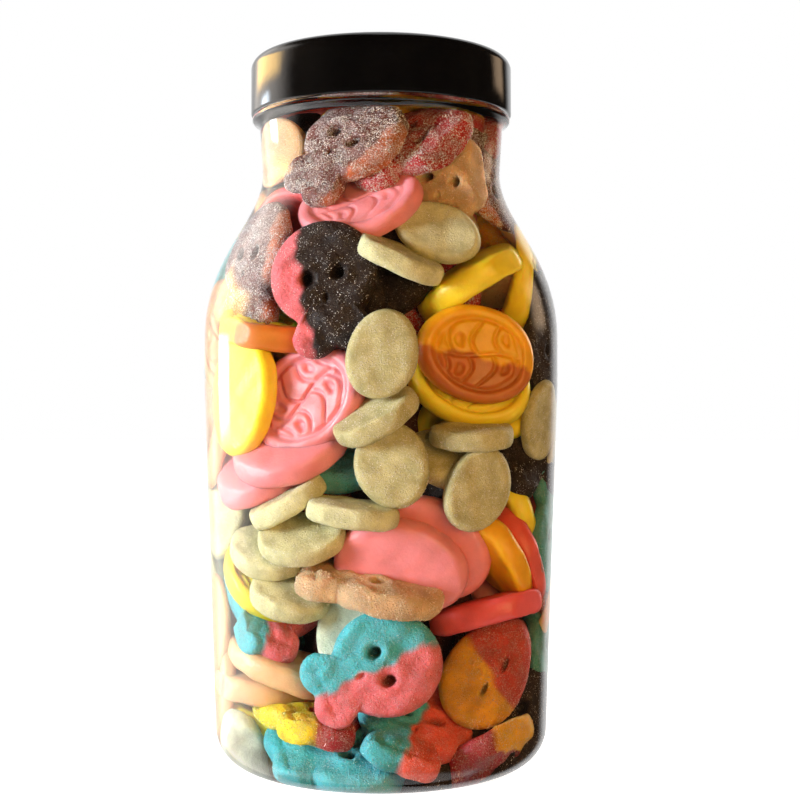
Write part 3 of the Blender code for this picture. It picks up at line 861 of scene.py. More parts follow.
# where the two colours meet, in millimetres off the middle; on the gold and lemon ovals it is the top of
# their painted shade
splitAt = {
    "pinkliquorice": 7.5,
    "cola": -11.5,
    "goldorange": -1.0,
    "lemonamber": -8.0,
    "berrylemon": -7.0,
    "mintliquorice": 9.0,
}
calmRelief = {"rose": 0.4, "gold": 0.7}  # colours with a fainter raised pattern, and the share that is left
roundColours = {
    "oval": ("lemon", "lemon", "pink", "pink", "coral", "toffee", "peach"),
    "disc": ("pear",),
    "skull": ("mintpink", "mint", "liquorice", "cola", "berry", "lemonberry", "toffee", "mintcoral"),
}
# painted light: pale colours for the sweets at the left edge, standing for the brighter light and milky
# reflection there
leftLitColours = {"oval": ("peach",), "disc": ("cream",), "skull": ("mintpink", "toffee")}


def linearColour(name):
    # screen colour to light: each channel over 255, to the power 2.2
    return (np.array(sweetColours[name]) / 255.0) ** 2.2


def smoothStep(low, high, value):
    # 0 below low, 1 above high, and 3t^2 - 2t^3 between
    t = np.clip((value - low) / (high - low), 0, 1)
    return t * t * (3 - 2 * t)


# sweets: their shapes. Each has a flat part that grows from the middle and a round rim, over angle and row
gridPlan = {
    "carved": {"face": 30, "rim": 9, "back": 5, "columns": 104},
    "fine": {"face": 19, "rim": 9, "back": 7, "columns": 80},
    "plain": {"face": 13, "rim": 6, "back": 4, "columns": 48},
}


def rowsOfSlab(plan, square):
    # for each row: how far out the flat part reaches, how much of the rim's bulge is added, and the height;
    # the rim is a quarter of a rounded square, sine and cosine to a power below one
    face = np.arange(1, plan["face"] + 1) / plan["face"]
    turn = np.arange(1, plan["rim"] + 1) * math.pi / (plan["rim"] + 1)
    back = np.arange(plan["back"], 0, -1) / plan["back"]
    reach = np.concatenate([face, np.ones(plan["rim"]), back])
    bulge = np.concatenate([0 * face, np.sin(turn) ** square, 0 * back])
    fall = np.sign(np.cos(turn)) * np.abs(np.cos(turn)) ** square
    rise = np.concatenate([0 * face + 1, fall, 0 * back - 1])
    return reach, bulge, rise


def ellipseReach(angle, halfLong, halfWide):
    # distance from the middle to an ellipse: ab / sqrt((b cos)^2 + (a sin)^2)
    return halfLong * halfWide / np.sqrt((halfWide * np.cos(angle)) ** 2 + (halfLong * np.sin(angle)) ** 2)


def skullReach(angle, halfLong, halfWide):
    # distance to the outermost of four circles, the crown, two corners of the jaw and the mouth between them,
    # blended by a soft maximum: the log of the sum of e^(1.1 distance), over 1.1
    scale = halfLong / 21.0
    total = np.zeros_like(angle)
    for x, y, r in ((4.9, 0.0, 16.1), (-14.4, 5.6, 6.6), (-14.4, -5.6, 6.6), (-9.0, 0.0, 9.0)):
        beside = x * np.sin(angle) - y * np.cos(angle)
        inside = np.maximum(r * r - beside * beside, 0.0)
        hit = np.where(r * r > beside * beside, x * np.cos(angle) + y * np.sin(angle) + np.sqrt(inside), 0.0)
        total += np.exp(np.maximum(hit, 0) * 1.1)
    return np.log(total) / 1.1 * scale


def blockRows(x, y, halfLong, halfWide):
    # two rows of soft blocks: 1 on a block, 0 in the grooves between and in a small hole in every other
    # block; the row line is v = 0.12 sin 3.4u, the grooves between blocks lean and curve by
    # 0.14 sin 5v + 0.2 v^2, and each block is 0.38 of the half length wide
    u, v = x / halfLong, y / halfWide - 0.12 * np.sin(3.4 * x / halfLong)
    place = (u + 0.14 * np.sin(5 * v) + 0.2 * v * v) / 0.38 + np.where(v > 0, 0.15, 0.62)
    beside = (place % 1.0 - 0.5) * 0.38
    groove = smoothStep(0.012, 0.05, 0.19 - np.abs(beside)) * smoothStep(0.02, 0.065, np.abs(v))
    hole = 1 - smoothStep(0.045, 0.085, np.hypot(beside, (np.abs(v) - 0.30) * 0.5))
    return groove * (1 - hole * (np.floor(place) % 2))


def ovalRelief(x, y, halfLong, halfWide):
    # a rounded rim, a groove inside it, and two rows of raised blocks in the sunk field
    e = np.hypot(x / halfLong, y / halfWide)
    ridge = np.exp(-(((e - 0.86) / 0.06) ** 2))
    field = 1 - smoothStep(0.74, 0.81, e)
    blocks = blockRows(x, y, halfLong, halfWide) * (1 - smoothStep(0.66, 0.72, e))
    return 0.5 * ridge - 1.5 * field + 1.35 * blocks


def eyePits(x, y, halfLong):
    # one inside either eye's small ellipse, falling to zero at its edge
    s = halfLong / 21.0
    along, halfLength, halfHeight = x - 3.2 * s, 2.4 * s, 2.0 * s
    off = [np.hypot(along / halfLength, (y - side * 4.7 * s) / halfHeight) for side in (-1, 1)]
    return sum(1 - smoothStep(0.55, 1.05, each) for each in off)


def skullRelief(x, y, halfLong, halfWide):
    # two eye pits with a faint ring, a small nose pit, a brow, sunk cheeks and grooves between the teeth
    s = halfLong / 21.0
    eyes = eyePits(x, y, halfLong)
    around = [np.hypot(x - 3.2 * s, y - side * 4.6 * s) - 3.6 * s for side in (-1, 1)]
    ring = sum(np.exp(-((each / (1.2 * s)) ** 2)) for each in around)
    nose = 1 - smoothStep(0.4, 1.1, np.hypot((x + 3.4 * s) / (1.5 * s), y / (1.0 * s)))
    brow = np.exp(-(((x - 8.0 * s) / (1.8 * s)) ** 2)) * np.exp(-((y / (8.5 * s)) ** 4))
    below = ((x + 7.5 * s) / (2.6 * s)) ** 2
    cheek = sum(np.exp(-below - ((y - side * 7.0 * s) / (3.0 * s)) ** 2) for side in (-1, 1))
    jaw = 1 - smoothStep(-13.0 * s, -11.0 * s, x)
    teeth = jaw * sum(np.exp(-(((y - place * s) / (0.65 * s)) ** 2)) for place in (-7.2, -2.4, 2.4, 7.2))
    bite = np.exp(-(((x + 15.6 * s) / (0.7 * s)) ** 2)) * jaw
    return -6.5 * eyes + 0.6 * ring - 1.9 * nose + 0.7 * brow - 1.2 * cheek - 0.8 * teeth - 0.8 * bite


def eyeSlits(x, y):
    # one inside either of two narrow slits off the middle line, falling to zero at their edges
    off = [np.hypot((x - px) / 2.6, (y - py) / 1.1) for px, py in ((4.5, -3.6), (-5.6, -0.5))]
    return sum(1 - smoothStep(0.5, 1.1, each) for each in off)


def slitRelief(x, y, halfLong, halfWide):
    # two slits, sunk by 3.2
    return -3.2 * eyeSlits(x, y)


def discRelief(x, y, halfLong, halfWide):
    # a faint hollow: 0.15 (1 - e^2) deep, where e is 1 at the edge
    e = np.hypot(x / halfLong, y / halfWide)
    return -0.15 * (1 - e**2)


def makeShape(reach, relief, rim, square, dome, backDome, lumps):
    # how far out it goes and what is raised on its face, then the rim's width, how square the rim is, the
    # domes of face and back, and the lumps; all in millimetres but the squareness
    return {
        "reach": reach,
        "relief": relief,
        "rim": rim,
        "square": square,
        "dome": dome,
        "backDome": backDome,
        "lumps": lumps,
    }


shapes = {
    "oval": makeShape(ellipseReach, ovalRelief, rim=3.0, square=0.72, dome=0.0, backDome=1.3, lumps=0.18),
    "disc": makeShape(ellipseReach, discRelief, rim=2.9, square=0.66, dome=0.3, backDome=0.3, lumps=0.2),
    "skull": makeShape(skullReach, skullRelief, rim=4.0, square=0.78, dome=0.9, backDome=0.3, lumps=0.42),
    "round": makeShape(ellipseReach, slitRelief, rim=4.0, square=0.8, dome=1.2, backDome=0.6, lumps=0.4),
}


def sweetPoints(kind, plan, chosen, draw):
    # all sweets of a kind at once: slab rows over angle, lifted by dome and relief, uneven, bent, then placed
    shape = shapes[kind]
    reach, bulge, rise = rowsOfSlab(plan, shape["square"])
    angle = (np.arange(plan["columns"]) + 0.5) * 2 * math.pi / plan["columns"]
    count = len(chosen)
    scale = np.array([sweet["scale"] for sweet in chosen])[:, None]
    halves = np.array(heapPlan["halfSizes"][kind])[None, :, None] * scale[:, None]
    halfLong, halfWide, halfThick = halves[:, 0], halves[:, 1], halves[:, 2]
    edge = shape["reach"](angle[None], halfLong, halfWide)
    rowReach = np.concatenate([[0.0], reach, [0.0]])
    rowBulge = np.concatenate([[0.0], bulge, [0.0]])
    rowRise = np.concatenate([[1.0], rise, [-1.0]])
    rim = np.minimum(shape["rim"], edge * 0.45)
    far = (edge - rim)[:, None] * rowReach[None, :, None] + rim[:, None] * rowBulge[None, :, None]
    x, y = far * np.cos(angle), far * np.sin(angle)
    long3, wide3, thick3 = halfLong[:, :, None], halfWide[:, :, None], halfThick[:, :, None]
    e2 = np.clip((x / long3) ** 2 + (y / wide3) ** 2, 0, 1)
    top = smoothStep(-0.2, 1.0, rowRise)[None, :, None]
    z = (thick3 - 1.1) * rowRise[None, :, None]
    calm = np.array([calmRelief.get(sweet["colour"], 1.0) for sweet in chosen])[:, None, None]
    z = z + top * (shape["dome"] * (1 - e2) + calm * shape["relief"](x, y, long3, wide3))
    under = (1 - smoothStep(-1.0, 0.2, rowRise))[None, :, None]
    z = z - under * (shape["backDome"] * (1 - e2) - (eyePits(x, y, long3) if kind == "skull" else 0.0) * 2.2)
    waves = draw.uniform(0, 2 * math.pi, (count, 6))[:, :, None, None]
    lumps = (
        np.sin(x * 0.31 + waves[:, 0]) * np.sin(y * 0.37 + waves[:, 1])
        + 0.6 * np.sin(x * 0.62 + y * 0.33 + waves[:, 2])
        + 0.4 * np.sin(y * 0.81 - x * 0.47 + waves[:, 3])
    )
    z = z + shape["lumps"] * lumps * np.where(rowRise > 0, 1.0, 0.8)[None, :, None]
    swell = 1 + 0.018 * np.sin(2 * angle + waves[:, 4, :, 0])[:, None]
    swell = swell + 0.012 * np.sin(3 * angle + waves[:, 5, :, 0])[:, None]
    bend = draw.normal(0, 0.9, count)[:, None, None]
    z = z + bend * ((x / long3) ** 2 - 0.4)
    local = np.stack([x * swell, y * swell, z], axis=-1)
    grid = local[:, 1:-1].reshape(count, -1, 3)
    local = np.concatenate([grid, local[:, :1, 0], local[:, -1:, 0]], axis=1)
    poses = np.array([sweet["pose"] for sweet in chosen])
    centres = np.array([sweet["centre"] for sweet in chosen])
    placed = np.einsum("nij,nkj->nki", poses, local) + centres[:, None]
    return local, keptInside(placed, heapPlan["wallGap"])


def slabFaces(plan, count):
    # quads between neighbouring rows and columns, a fan of triangles at each pole, repeated for each sweet
    rows = plan["face"] + plan["rim"] + plan["back"]
    columns = plan["columns"]
    side = np.arange(columns)
    after = (side + 1) % columns
    low = (np.arange(rows - 1) * columns)[:, None]
    high = low + columns
    quads = np.stack([low + side, high + side, high + after, low + after], axis=-1).reshape(-1, 4)
    top, bottom, last = rows * columns, rows * columns + 1, (rows - 1) * columns
    triangles = np.concatenate(
        [
            np.stack([np.full(columns, top), side, after], axis=1),
            np.stack([np.full(columns, bottom), last + after, last + side], axis=1),
        ]
    )
    shift = (np.arange(count) * (rows * columns + 2))[:, None, None]
    return (quads[None] + shift).reshape(-1, 4), (triangles[None] + shift).reshape(-1, 3)


def tintOf(kind, chosen, local):
    # each point takes its sweet's first colour where y is positive and the second where it is negative;
    # the round kind changes colour along a line across it instead. Pits are darker, by the factor 1 - 0.7
    # pit: painted shade in the eye pits and slits
    first = np.array([linearColour(sweetSides[sweet["colour"]][0]) for sweet in chosen])[:, None]
    second = np.array([linearColour(sweetSides[sweet["colour"]][1]) for sweet in chosen])[:, None]
    split = np.array([splitAt.get(sweet["colour"], 0.0) for sweet in chosen])[:, None]
    wander = 0.9 * np.sin(local[..., 0] * 0.33) + 0.5 * np.sin(local[..., 0] * 0.9 + 1.0)
    x, y = local[..., 0], local[..., 1]
    side = 0.42 * y - 0.91 * x if kind == "round" else y
    share = smoothStep(-1.0, 1.0, side - split + wander)[..., None]
    # painted shade in the hollows: the skulls' eye pits and the round sweets' slits are darkened
    pitShade = 0 * x
    if kind == "skull":
        pitShade = eyePits(x, y, heapPlan["halfSizes"]["skull"][0])
    elif kind == "round":
        pitShade = eyeSlits(x, y)
    return (first * share + second * (1 - share)) * (1 - 0.7 * pitShade)[..., None]


def gridFor(sweet):
    # the carved grid for front ovals that show their face, the fine one for other front sweets, and the plain
    # one for deep sweets and for those round the sides and back
    if not sweet["front"] or sweet["inset"] >= 17:
        return "plain"
    return "carved" if sweet["kind"] == "oval" and sweet["pose"][1, 2] < 0.25 else "fine"


def buildSweets(name, kinds, keep, material):
    # one piece of like sweets, each on its own grid; the name's length makes the seed its own
    draw = np.random.default_rng(len(name) + heapPlan["shapeSeed"])
    points, tints, quads, triangles = [], [], [], []
    total = 0
    for kind, grid in [(kind, grid) for kind in kinds for grid in gridPlan]:
        chosen = [s for s in sweets if s["kind"] == kind and keep(s) and grid == gridFor(s)]
        if not chosen:
            continue
        local, placed = sweetPoints(kind, gridPlan[grid], chosen, draw)
        fourSided, threeSided = slabFaces(gridPlan[grid], len(chosen))
        points.append(placed.reshape(-1, 3))
        tints.append(tintOf(kind, chosen, local).reshape(-1, 3))
        quads.append(fourSided + total)
        triangles.append(threeSided + total)
        total += points[-1].shape[0]
    points, quads, triangles, tints = (np.concatenate(each) for each in (points, quads, triangles, tints))
    piece = buildMesh(name, points, quads, triangles, tints)
    piece.data.materials.append(material)
    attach(piece, "root")
    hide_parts("candy_heap")
    print(name, "triangles", 2 * len(quads) + len(triangles))
    return piece


def colourTheRest():
    # the sweets round the sides and back take colours by chance from those of their kind; the ones that show
    # at the left edge take pale ones: painted light, for the brighter light and the milky reflection on that
    # side
    draw = np.random.default_rng(heapPlan["colourSeed"])
    for sweet in sweets:
        sweet["front"] = sweet["colour"] is not None
        if not sweet["front"]:
            # painted light: the sweets at the front left take pale colours
            inLeftLight = sweet["centre"][0] < -34 and sweet["centre"][1] < 8
            choices = (leftLitColours if inLeftLight else roundColours)[sweet["kind"]]
            sweet["colour"] = choices[draw.integers(len(choices))]


colourTheRest()
foamFinish = {
    "cloudSize": 130.0,
    "cloudDepth": 0.1,
    "skinSize": 900.0,
    "skinDepth": 0.0004,
    "grainSize": 1500.0,
    "grainCover": 0.0,
    "grainColour": (0.9, 0.88, 0.84),
    "grainStrength": 0.0,
    "glint": 0.0,
    "roughness": 0.4,
    "skinBump": 0.4,
    "grainBump": 0.0,
    "grainDepth": 0.0006,
    "glow": 0.55,
    "glowDepth": 0.0045,
    "glowRadius": (1.0, 0.38, 0.26),
    "shine": 0.5,
}
pearFinish = {
    **foamFinish,
    "cloudSize": 150.0,
    "cloudDepth": 0.3,
    "skinSize": 1300.0,
    "skinBump": 0.8,
    "grainSize": 1900.0,
    "grainCover": 0.5,
    "grainColour": (0.92, 0.9, 0.78),
    "grainStrength": 0.5,
    "grainBump": 0.6,
    "glint": 0.3,
    "roughness": 0.55,
    "glow": 0.3,
    "glowRadius": (1.0, 0.85, 0.5),
}
blackFinish = {
    **foamFinish,
    "cloudDepth": 0.35,
    "skinSize": 700.0,
    "skinDepth": 0.0007,
    "skinBump": 0.9,
    "grainSize": 2300.0,
    "grainCover": 0.45,
    "grainColour": (0.26, 0.17, 0.12),
    "grainStrength": 0.3,
    "grainBump": 0.6,
    "glint": 0.3,
    "roughness": 0.45,
    "glow": 0.0,
    "shine": 0.3,
}
frostFinish = {
    **foamFinish,
    "cloudDepth": 0.35,
    "skinDepth": 0.0006,
    "skinBump": 0.7,
    "grainCover": 0.72,
    "grainColour": (0.92, 0.85, 0.84),
    "grainStrength": 0.8,
    "grainBump": 1.0,
    "glint": 0.9,
    "roughness": 0.5,
}
sugarFinish = {
    **foamFinish,
    "cloudDepth": 0.25,
    "skinDepth": 0.0006,
    "skinBump": 0.7,
    "grainSize": 1900.0,
    "grainCover": 0.65,
    "grainColour": (0.9, 0.7, 0.5),
    "grainStrength": 0.35,
    "grainBump": 1.0,
    "glint": 0.3,
    "roughness": 0.5,
}
skullFinish = {
    **foamFinish,
    "cloudSize": 220.0,
    "cloudDepth": 0.18,
    "skinDepth": 0.0007,
    "skinBump": 1.0,
    "grainSize": 1900.0,
    "grainCover": 0.55,
    "grainStrength": 0.22,
    "grainBump": 0.7,
    "glint": 0.12,
    "roughness": 0.6,
}

foam = makeSweetMaterial("waxyFoam", foamFinish)
paleFoam = makeSweetMaterial("paleFoam", pearFinish)
blackGum = makeSweetMaterial("blackGum", blackFinish)
frostGum = makeSweetMaterial("frostedGum", frostFinish)
sugarGum = makeSweetMaterial("sugaredGum", sugarFinish)
skullFoam = makeSweetMaterial("skullFoam", skullFinish)

frosted = ("cola", "berry")
sugared = ("honeybrick", "lemonberry", "berrylemon", "lemonrose", "toffee", "sand")
black = ("liquorice", "pinkliquorice", "mintliquorice")
yellows = ("lemon", "gold", "goldorange", "lemonamber")
pinks = ("pink", "rose")
buildSweets("yellowOvals", ["oval"], lambda s: s["colour"] in yellows, foam)
buildSweets("pinkOvals", ["oval"], lambda s: s["colour"] in pinks, foam)
buildSweets("warmOvals", ["oval"], lambda s: s["colour"] not in yellows + pinks, foam)
discPiece = buildSweets("paleDiscs", ["disc"], lambda s: True, paleFoam)
frostedPiece = buildSweets("frostedSkulls", ["skull"], lambda s: s["colour"] in frosted, frostGum)
sugaredPiece = buildSweets("sugaredSkulls", ["skull", "round"], lambda s: s["colour"] in sugared, sugarGum)
blackPiece = buildSweets("blackSkulls", ["skull"], lambda s: s["colour"] in black, blackGum)
coated = frosted + sugared + black
softPiece = buildSweets("softSkulls", ["skull"], lambda s: s["colour"] not in coated, skullFoam)

# sugar: loose crystals on the coated sweets and a finer powder on most others, where they can be seen. Each
# coat is a piece, its crystals to a square millimetre, and the share of their colour that is from below
crystalPlan = {
    "reach": 13.0,
    "lift": 0.06,
    "roughness": 0.22,
    "sizes": (0.13, 0.33),
    "seed": 5,
    "coats": ((frostedPiece, 2.5, 0.0), (sugaredPiece, 2.0, 0.6)),
}
powderPlan = {
    "reach": 11.0,
    "lift": 0.03,
    "roughness": 0.3,
    "sizes": (0.09, 0.23),
    "seed": 5,
    "coats": ((discPiece, 1.0, 0.1), (softPiece, 0.8, 0.5), (blackPiece, 0.8, 0.0)),
}


def coatThickness(spots):
    # thick and thin places, from crossed slow sines: 2.1 (0.5 + 0.5 sin a sin b) squared, and never under 0.1
    x, y, z = spots.T
    first = np.sin(0.55 * x + 1.6 * np.sin(0.31 * z) + 0.4 * y)
    second = np.sin(0.62 * z + 1.4 * np.sin(0.37 * x + 0.2 * y))
    return np.maximum(2.1 * (0.5 + 0.5 * first * second) ** 2, 0.1)


def spotsOn(piece, density, plan, draw):
    # spots spread over the faces that look outwards near the wall, by area times density times coat
    # thickness, and the colour under each of them
    faces = piece.data.polygons
    centres, normals, areas = np.empty(len(faces) * 3), np.empty(len(faces) * 3), np.empty(len(faces))
    faces.foreach_get("center", centres)
    faces.foreach_get("normal", normals)
    faces.foreach_get("area", areas)
    centres, normals, areas = centres.reshape(-1, 3) / mm, normals.reshape(-1, 3), areas / mm**2
    flat = np.linalg.norm(centres[:, :2], axis=1)
    outwards = (centres[:, :2] * normals[:, :2]).sum(axis=1) / np.maximum(flat, 1e-6)
    seen = (flat > innerRadius(centres[:, 2]) - plan["reach"]) & (outwards > 0.1)
    counts = draw.poisson(areas * density * coatThickness(centres) * seen)
    chosen = np.repeat(np.arange(len(faces)), counts)
    side = np.cross(normals[chosen], (0.3, 0.5, 0.81))
    side /= np.maximum(np.linalg.norm(side, axis=1), 1e-6)[:, None]
    other = np.cross(normals[chosen], side)
    width = np.sqrt(areas[chosen])[:, None]
    nudge = side * draw.uniform(-0.5, 0.5, width.shape) + other * draw.uniform(-0.5, 0.5, width.shape)
    spots = centres[chosen] + width * nudge
    starts = np.empty(len(faces), np.int32)
    faces.foreach_get("loop_start", starts)
    corners = np.empty(len(piece.data.loops), np.int32)
    piece.data.loops.foreach_get("vertex_index", corners)
    colours = np.empty(len(piece.data.vertices) * 4, np.float32)
    piece.data.attributes["tint"].data.foreach_get("color", colours)
    under = colours.reshape(-1, 4)[corners[starts[chosen]], :3]
    return spots + normals[chosen] * plan["lift"], under


def makeCrystalMaterial(name, roughness):
    # pale crystals in the colours of their points, with smooth glinting faces
    made, tree, shader = newMaterial(name)
    link = tree.links.new
    tint = addNode(tree, "ShaderNodeAttribute", attribute_name="tint")
    mottle = addNode(tree, "ShaderNodeGroup", node_tree=mottleGroup)
    mottle.inputs["Cloud size"].default_value = 900.0
    mottle.inputs["Cloud depth"].default_value = 0.2
    link(tint.outputs["Color"], mottle.inputs["Colour"])
    link(mottle.outputs["Colour"], shader.inputs["Base Color"])
    shader.inputs["Roughness"].default_value = roughness
    return made


def buildCrystals(name, plan):
    # each crystal is a tetrahedron, stretched and turned by chance round its spot; its colour is a pale grey
    # by chance, mixed with the colour under it
    draw = np.random.default_rng(plan["seed"])
    found = [(*spotsOn(piece, density, plan, draw), below) for piece, density, below in plan["coats"]]
    spots = np.concatenate([each[0] for each in found])
    under = np.concatenate([each[1] for each in found])
    share = np.concatenate([np.full(len(each[0]), each[2]) for each in found])[:, None]
    count = len(spots)
    corners = np.array([(1, 1, 1), (1, -1, -1), (-1, 1, -1), (-1, -1, 1)]) / math.sqrt(3)
    sizes = draw.uniform(*plan["sizes"], (count, 1, 1)) * draw.uniform(0.7, 1.3, (count, 1, 3))
    turns = smallTurns(draw.normal(0, 2.0, (count, 3)))
    around = np.einsum("nij,nkj->nki", turns, corners[None] * sizes)
    points = keptInside(spots[:, None] + around, heapPlan["wallGap"] - 0.3)
    faces = np.array([(0, 1, 2), (0, 3, 1), (0, 2, 3), (1, 3, 2)])
    triangles = (faces[None] + 4 * np.arange(count)[:, None, None]).reshape(-1, 3)
    plain = draw.uniform(0.5, 0.97, (count, 1)) * np.array([1.0, 0.95, 0.92])
    shade = plain * (1 - share) + np.minimum(under * draw.uniform(0.9, 1.7, (count, 1)), 0.95) * share
    tints = np.broadcast_to(shade[:, None], (count, 4, 3)).reshape(-1, 3)
    piece = buildMesh(name, points.reshape(-1, 3), np.zeros((0, 4), int), triangles, tints)
    piece.data.polygons.foreach_set("use_smooth", np.zeros(len(triangles), bool))
    piece.data.materials.append(makeCrystalMaterial(name, plan["roughness"]))
    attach(piece, "root")
    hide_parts("candy_heap")
    print(name, "triangles", len(triangles))


buildCrystals("sugarCrystals", crystalPlan)
buildCrystals("sugarPowder", powderPlan)

# core: a dark lump in the middle of the heap, so that no light comes through; its dark colour is painted
# shade, standing for the shaded sweets deep inside
corePlan = {
    "inset": 38.0,
    "thinnest": 3.0,
    "bottom": 14.0,
    "top": 232.0,
    "rows": 60,
    "sides": 72,
    "wave": 0.12,
    "wavesRound": 5,
    "wavesUp": 190,
}


def buildCore():
    # the jar's inner radius less the inset, with waves round it and up it: r (1 + wave sin na sin mz), with
    # z in metres
    levels = np.linspace(corePlan["bottom"], corePlan["top"], corePlan["rows"])
    radius = np.maximum(innerRadius(levels) - corePlan["inset"], corePlan["thinnest"])
    outline = np.concatenate([[(0, levels[0])], np.stack([radius, levels], axis=1), [(0, levels[-1])]])
    core = turnedPiece("heapCore", outline, corePlan["sides"])
    points = np.empty(len(core.data.vertices) * 3, np.float32)
    core.data.vertices.foreach_get("co", points)
    points = points.reshape(-1, 3)
    angle = np.arctan2(points[:, 1], points[:, 0])
    around = corePlan["wave"] * np.sin(corePlan["wavesRound"] * angle)
    points[:, :2] *= (1 + around * np.sin(points[:, 2] * corePlan["wavesUp"]))[:, None]
    core.data.vertices.foreach_set("co", points.ravel())
    layer = core.data.attributes.new("tint", "FLOAT_COLOR", "POINT")
    # painted shade: half the cola colour, for the heap's shaded middle
    heapShade = np.append(linearColour("cola") * 0.5, 1.0).astype(np.float32)
    layer.data.foreach_set("color", np.tile(heapShade, len(points)))
    core.data.materials.append(blackGum)
    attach(core, "root")
    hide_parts("candy_heap")
    print("core", len(core.data.polygons), "faces")


buildCore()

# stage: floor, light and camera. Each patch of the room is two azimuths, two elevations and the softness of
# its edges, all in degrees, and its colour
stagePlan = {
    "camera": (0.00672, -0.5168, 0.12856),
    "lens": 64.69,
    "floor": (0.5, 0.49, 0.48, 1),
    "floorGlow": 0.93,
    "roomLight": (0.075, 0.054, 0.030),
    "dimRoom": (0.035, 0.026, 0.02),
    "patches": (
        (-100, 100, -89, -50, 10, (1.0, 1.0, 1.0)),
        (-150, -92, -50, 40, 14, (2.7, 2.55, 2.4)),
        (-136, -98, 8, 20, 6, (12.0, 8.0, 3.4)),
        (-126, -113, -2.0, 3.0, 2.6, (12.0, 13.5, 15.0)),
        (116, 132, 5, 20, 5, (2.0, 1.4, 0.9)),
        (145, 200, -90, 90, 8, (1.0, 1.0, 1.0)),
        (-200, -145, -90, 90, 8, (1.0, 1.0, 1.0)),
    ),
}


def buildFloor():
    # a square sheet, wide enough for every view: white to the camera, plain grey to the light that it bounces
    half = 4000.0
    corners = [(-half, -half, 0), (half, -half, 0), (half, half, 0), (-half, half, 0)]
    floor = buildMesh("floor", corners, [(0, 1, 2, 3)], [])
    made, tree, shader = newMaterial("paleFloor")
    link = tree.links.new
    shader.inputs["Base Color"].default_value = stagePlan["floor"]
    shader.inputs["Roughness"].default_value = 0.9
    glow = {"Roughness": 0.9, "Emission Strength": stagePlan["floorGlow"]}
    seen = addNode(tree, "ShaderNodeBsdfPrincipled", glow)
    seen.inputs["Base Color"].default_value = (0.9, 0.9, 0.9, 1)
    seen.inputs["Emission Color"].default_value = (1, 1, 1, 1)
    rays = addNode(tree, "ShaderNodeLightPath")
    mix = addNode(tree, "ShaderNodeMixShader")
    link(rays.outputs["Is Camera Ray"], mix.inputs[0])
    link(shader.outputs[0], mix.inputs[1])
    link(seen.outputs[0], mix.inputs[2])
    link(mix.outputs[0], tree.nodes["Material Output"].inputs["Surface"])
    floor.data.materials.append(made)
    floor.visible_glossy = False


def addLamp(name, place, size, power, colour):
    # a square lamp that looks at the middle of the jar; it lights and glints on all but the jar and lid
    lamp = bpy.data.lights.new(name, "AREA")
    lamp.shape = "RECTANGLE"
    lamp.size, lamp.size_y = size
    lamp.energy = power
    lamp.color = colour
    obj = bpy.data.objects.new(name, lamp)
    back = np.array(place) - np.array((0, 0, 0.13))
    obj.location = place
    yaw = math.atan2(back[0], -back[1])
    pitch = math.atan2(math.hypot(back[0], back[1]), back[2])
    obj.rotation_euler = (pitch, 0, yaw)
    obj.visible_camera = False
    bpy.context.scene.collection.objects.link(obj)
    obj.light_linking.receiver_collection = litPieces


def softBand(tree, value, low, high, soft):
    # 0 outside low and high, 1 inside, with a smooth step as wide as soft at each end
    rising = {"From Min": low - soft, "From Max": low + soft}
    falling = {"From Min": high - soft, "From Max": high + soft, "To Min": 1.0, "To Max": 0.0}
    up = addNode(tree, "ShaderNodeMapRange", rising, interpolation_type="SMOOTHSTEP")
    down = addNode(tree, "ShaderNodeMapRange", falling, interpolation_type="SMOOTHSTEP")
    both = addNode(tree, "ShaderNodeMath", operation="MULTIPLY")
    tree.links.new(value, up.inputs["Value"])
    tree.links.new(value, down.inputs["Value"])
    tree.links.new(up.outputs["Result"], both.inputs[0])
    tree.links.new(down.outputs["Result"], both.inputs[1])
    return both.outputs[0]


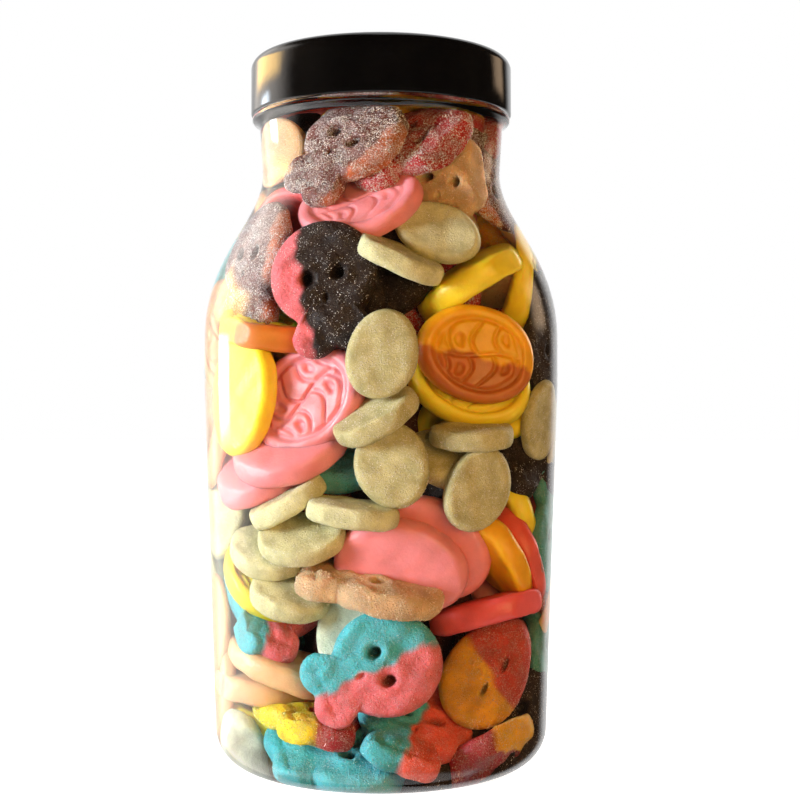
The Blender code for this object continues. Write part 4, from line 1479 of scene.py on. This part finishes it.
def buildRoom():
    # white to the camera and behind the clear jar; mirrors see pale walls and windows, each a soft patch over
    # azimuth and elevation, and matt things are lit by one even colour
    world = bpy.data.worlds.new("room")
    bpy.context.scene.world = world
    world.use_nodes = True
    tree = world.node_tree
    link = tree.links.new
    back = tree.nodes["Background"]
    back.inputs["Strength"].default_value = 1.0
    place = addNode(tree, "ShaderNodeTexCoord")
    axes = addNode(tree, "ShaderNodeSeparateXYZ")
    link(place.outputs["Generated"], axes.inputs[0])
    towards = addNode(tree, "ShaderNodeMath", operation="MULTIPLY")
    towards.inputs[1].default_value = -1.0
    link(axes.outputs["Y"], towards.inputs[0])
    azimuth = addNode(tree, "ShaderNodeMath", operation="ARCTAN2")
    link(axes.outputs["X"], azimuth.inputs[0])
    link(towards.outputs[0], azimuth.inputs[1])
    elevation = addNode(tree, "ShaderNodeMath", operation="ARCSINE")
    link(axes.outputs["Z"], elevation.inputs[0])
    seen = None
    for *edges, colour in stagePlan["patches"]:
        low, high, bottom, top, soft = (math.radians(each) for each in edges)
        across = softBand(tree, azimuth.outputs[0], low, high, soft)
        upright = softBand(tree, elevation.outputs[0], bottom, top, soft * 0.5)
        mask = addNode(tree, "ShaderNodeMath", operation="MULTIPLY")
        link(across, mask.inputs[0])
        link(upright, mask.inputs[1])
        mix = addNode(tree, "ShaderNodeMix", data_type="RGBA")
        mix.inputs[6].default_value = (*stagePlan["dimRoom"], 1)
        mix.inputs[7].default_value = (*colour, 1)
        link(mask.outputs[0], mix.inputs[0])
        if seen is not None:
            link(seen, mix.inputs[6])
        seen = mix.outputs[2]
    rays = addNode(tree, "ShaderNodeLightPath")
    behind = addNode(tree, "ShaderNodeMapRange", {"From Min": -0.5, "From Max": 0.0})
    link(axes.outputs["Y"], behind.inputs["Value"])
    clear = addNode(tree, "ShaderNodeMath", operation="MULTIPLY")
    link(behind.outputs["Result"], clear.inputs[0])
    link(rays.outputs["Is Transmission Ray"], clear.inputs[1])
    soft = addNode(tree, "ShaderNodeMix", data_type="RGBA")
    soft.inputs[7].default_value = (*stagePlan["roomLight"], 1)
    link(rays.outputs["Is Diffuse Ray"], soft.inputs[0])
    link(seen, soft.inputs[6])
    white = addNode(tree, "ShaderNodeMath", operation="MAXIMUM")
    link(rays.outputs["Is Camera Ray"], white.inputs[0])
    link(clear.outputs[0], white.inputs[1])
    final = addNode(tree, "ShaderNodeMix", data_type="RGBA")
    final.inputs[7].default_value = (1, 1, 1, 1)
    link(white.outputs[0], final.inputs[0])
    link(soft.outputs[2], final.inputs[6])
    link(final.outputs[2], back.inputs["Color"])


def buildCamera():
    # level, where the photo was taken from
    camera = bpy.data.cameras.new("camera")
    camera.lens = stagePlan["lens"]
    camera.sensor_width = 36.0
    camera.clip_start = 0.01
    obj = bpy.data.objects.new("camera", camera)
    obj.location = stagePlan["camera"]
    obj.rotation_euler = (math.radians(90), 0, 0)
    bpy.context.scene.collection.objects.link(obj)
    bpy.context.scene.camera = obj


buildFloor()
buildRoom()
litPieces = bpy.data.collections.new("litPieces")
for piece in list(bpy.context.scene.objects):
    if piece.type == "MESH" and piece.name not in ("clearJar", "screwLid"):
        litPieces.objects.link(piece)
addLamp("keyLamp", (-1.18, -0.52, 0.26), (0.45, 0.45), 26.0, (0.95, 1.0, 1.04))
addLamp("fillLamp", (0.52, -1.12, 0.24), (0.6, 0.6), 9.5, (1.0, 0.56, 0.18))
addLamp("topLamp", (-0.1, 0.2, 1.2), (0.8, 0.8), 1.5, (1.0, 1.0, 1.0))
addLamp("backLamp", (0.75, 0.95, 0.55), (0.6, 0.6), 14.0, (1.0, 0.97, 0.92))
buildCamera()
scene = bpy.context.scene
scene.view_settings.view_transform = "Standard"
scene.cycles.use_denoising = True
scene.cycles.max_bounces = 12
scene.cycles.transparent_max_bounces = 16

print("done")
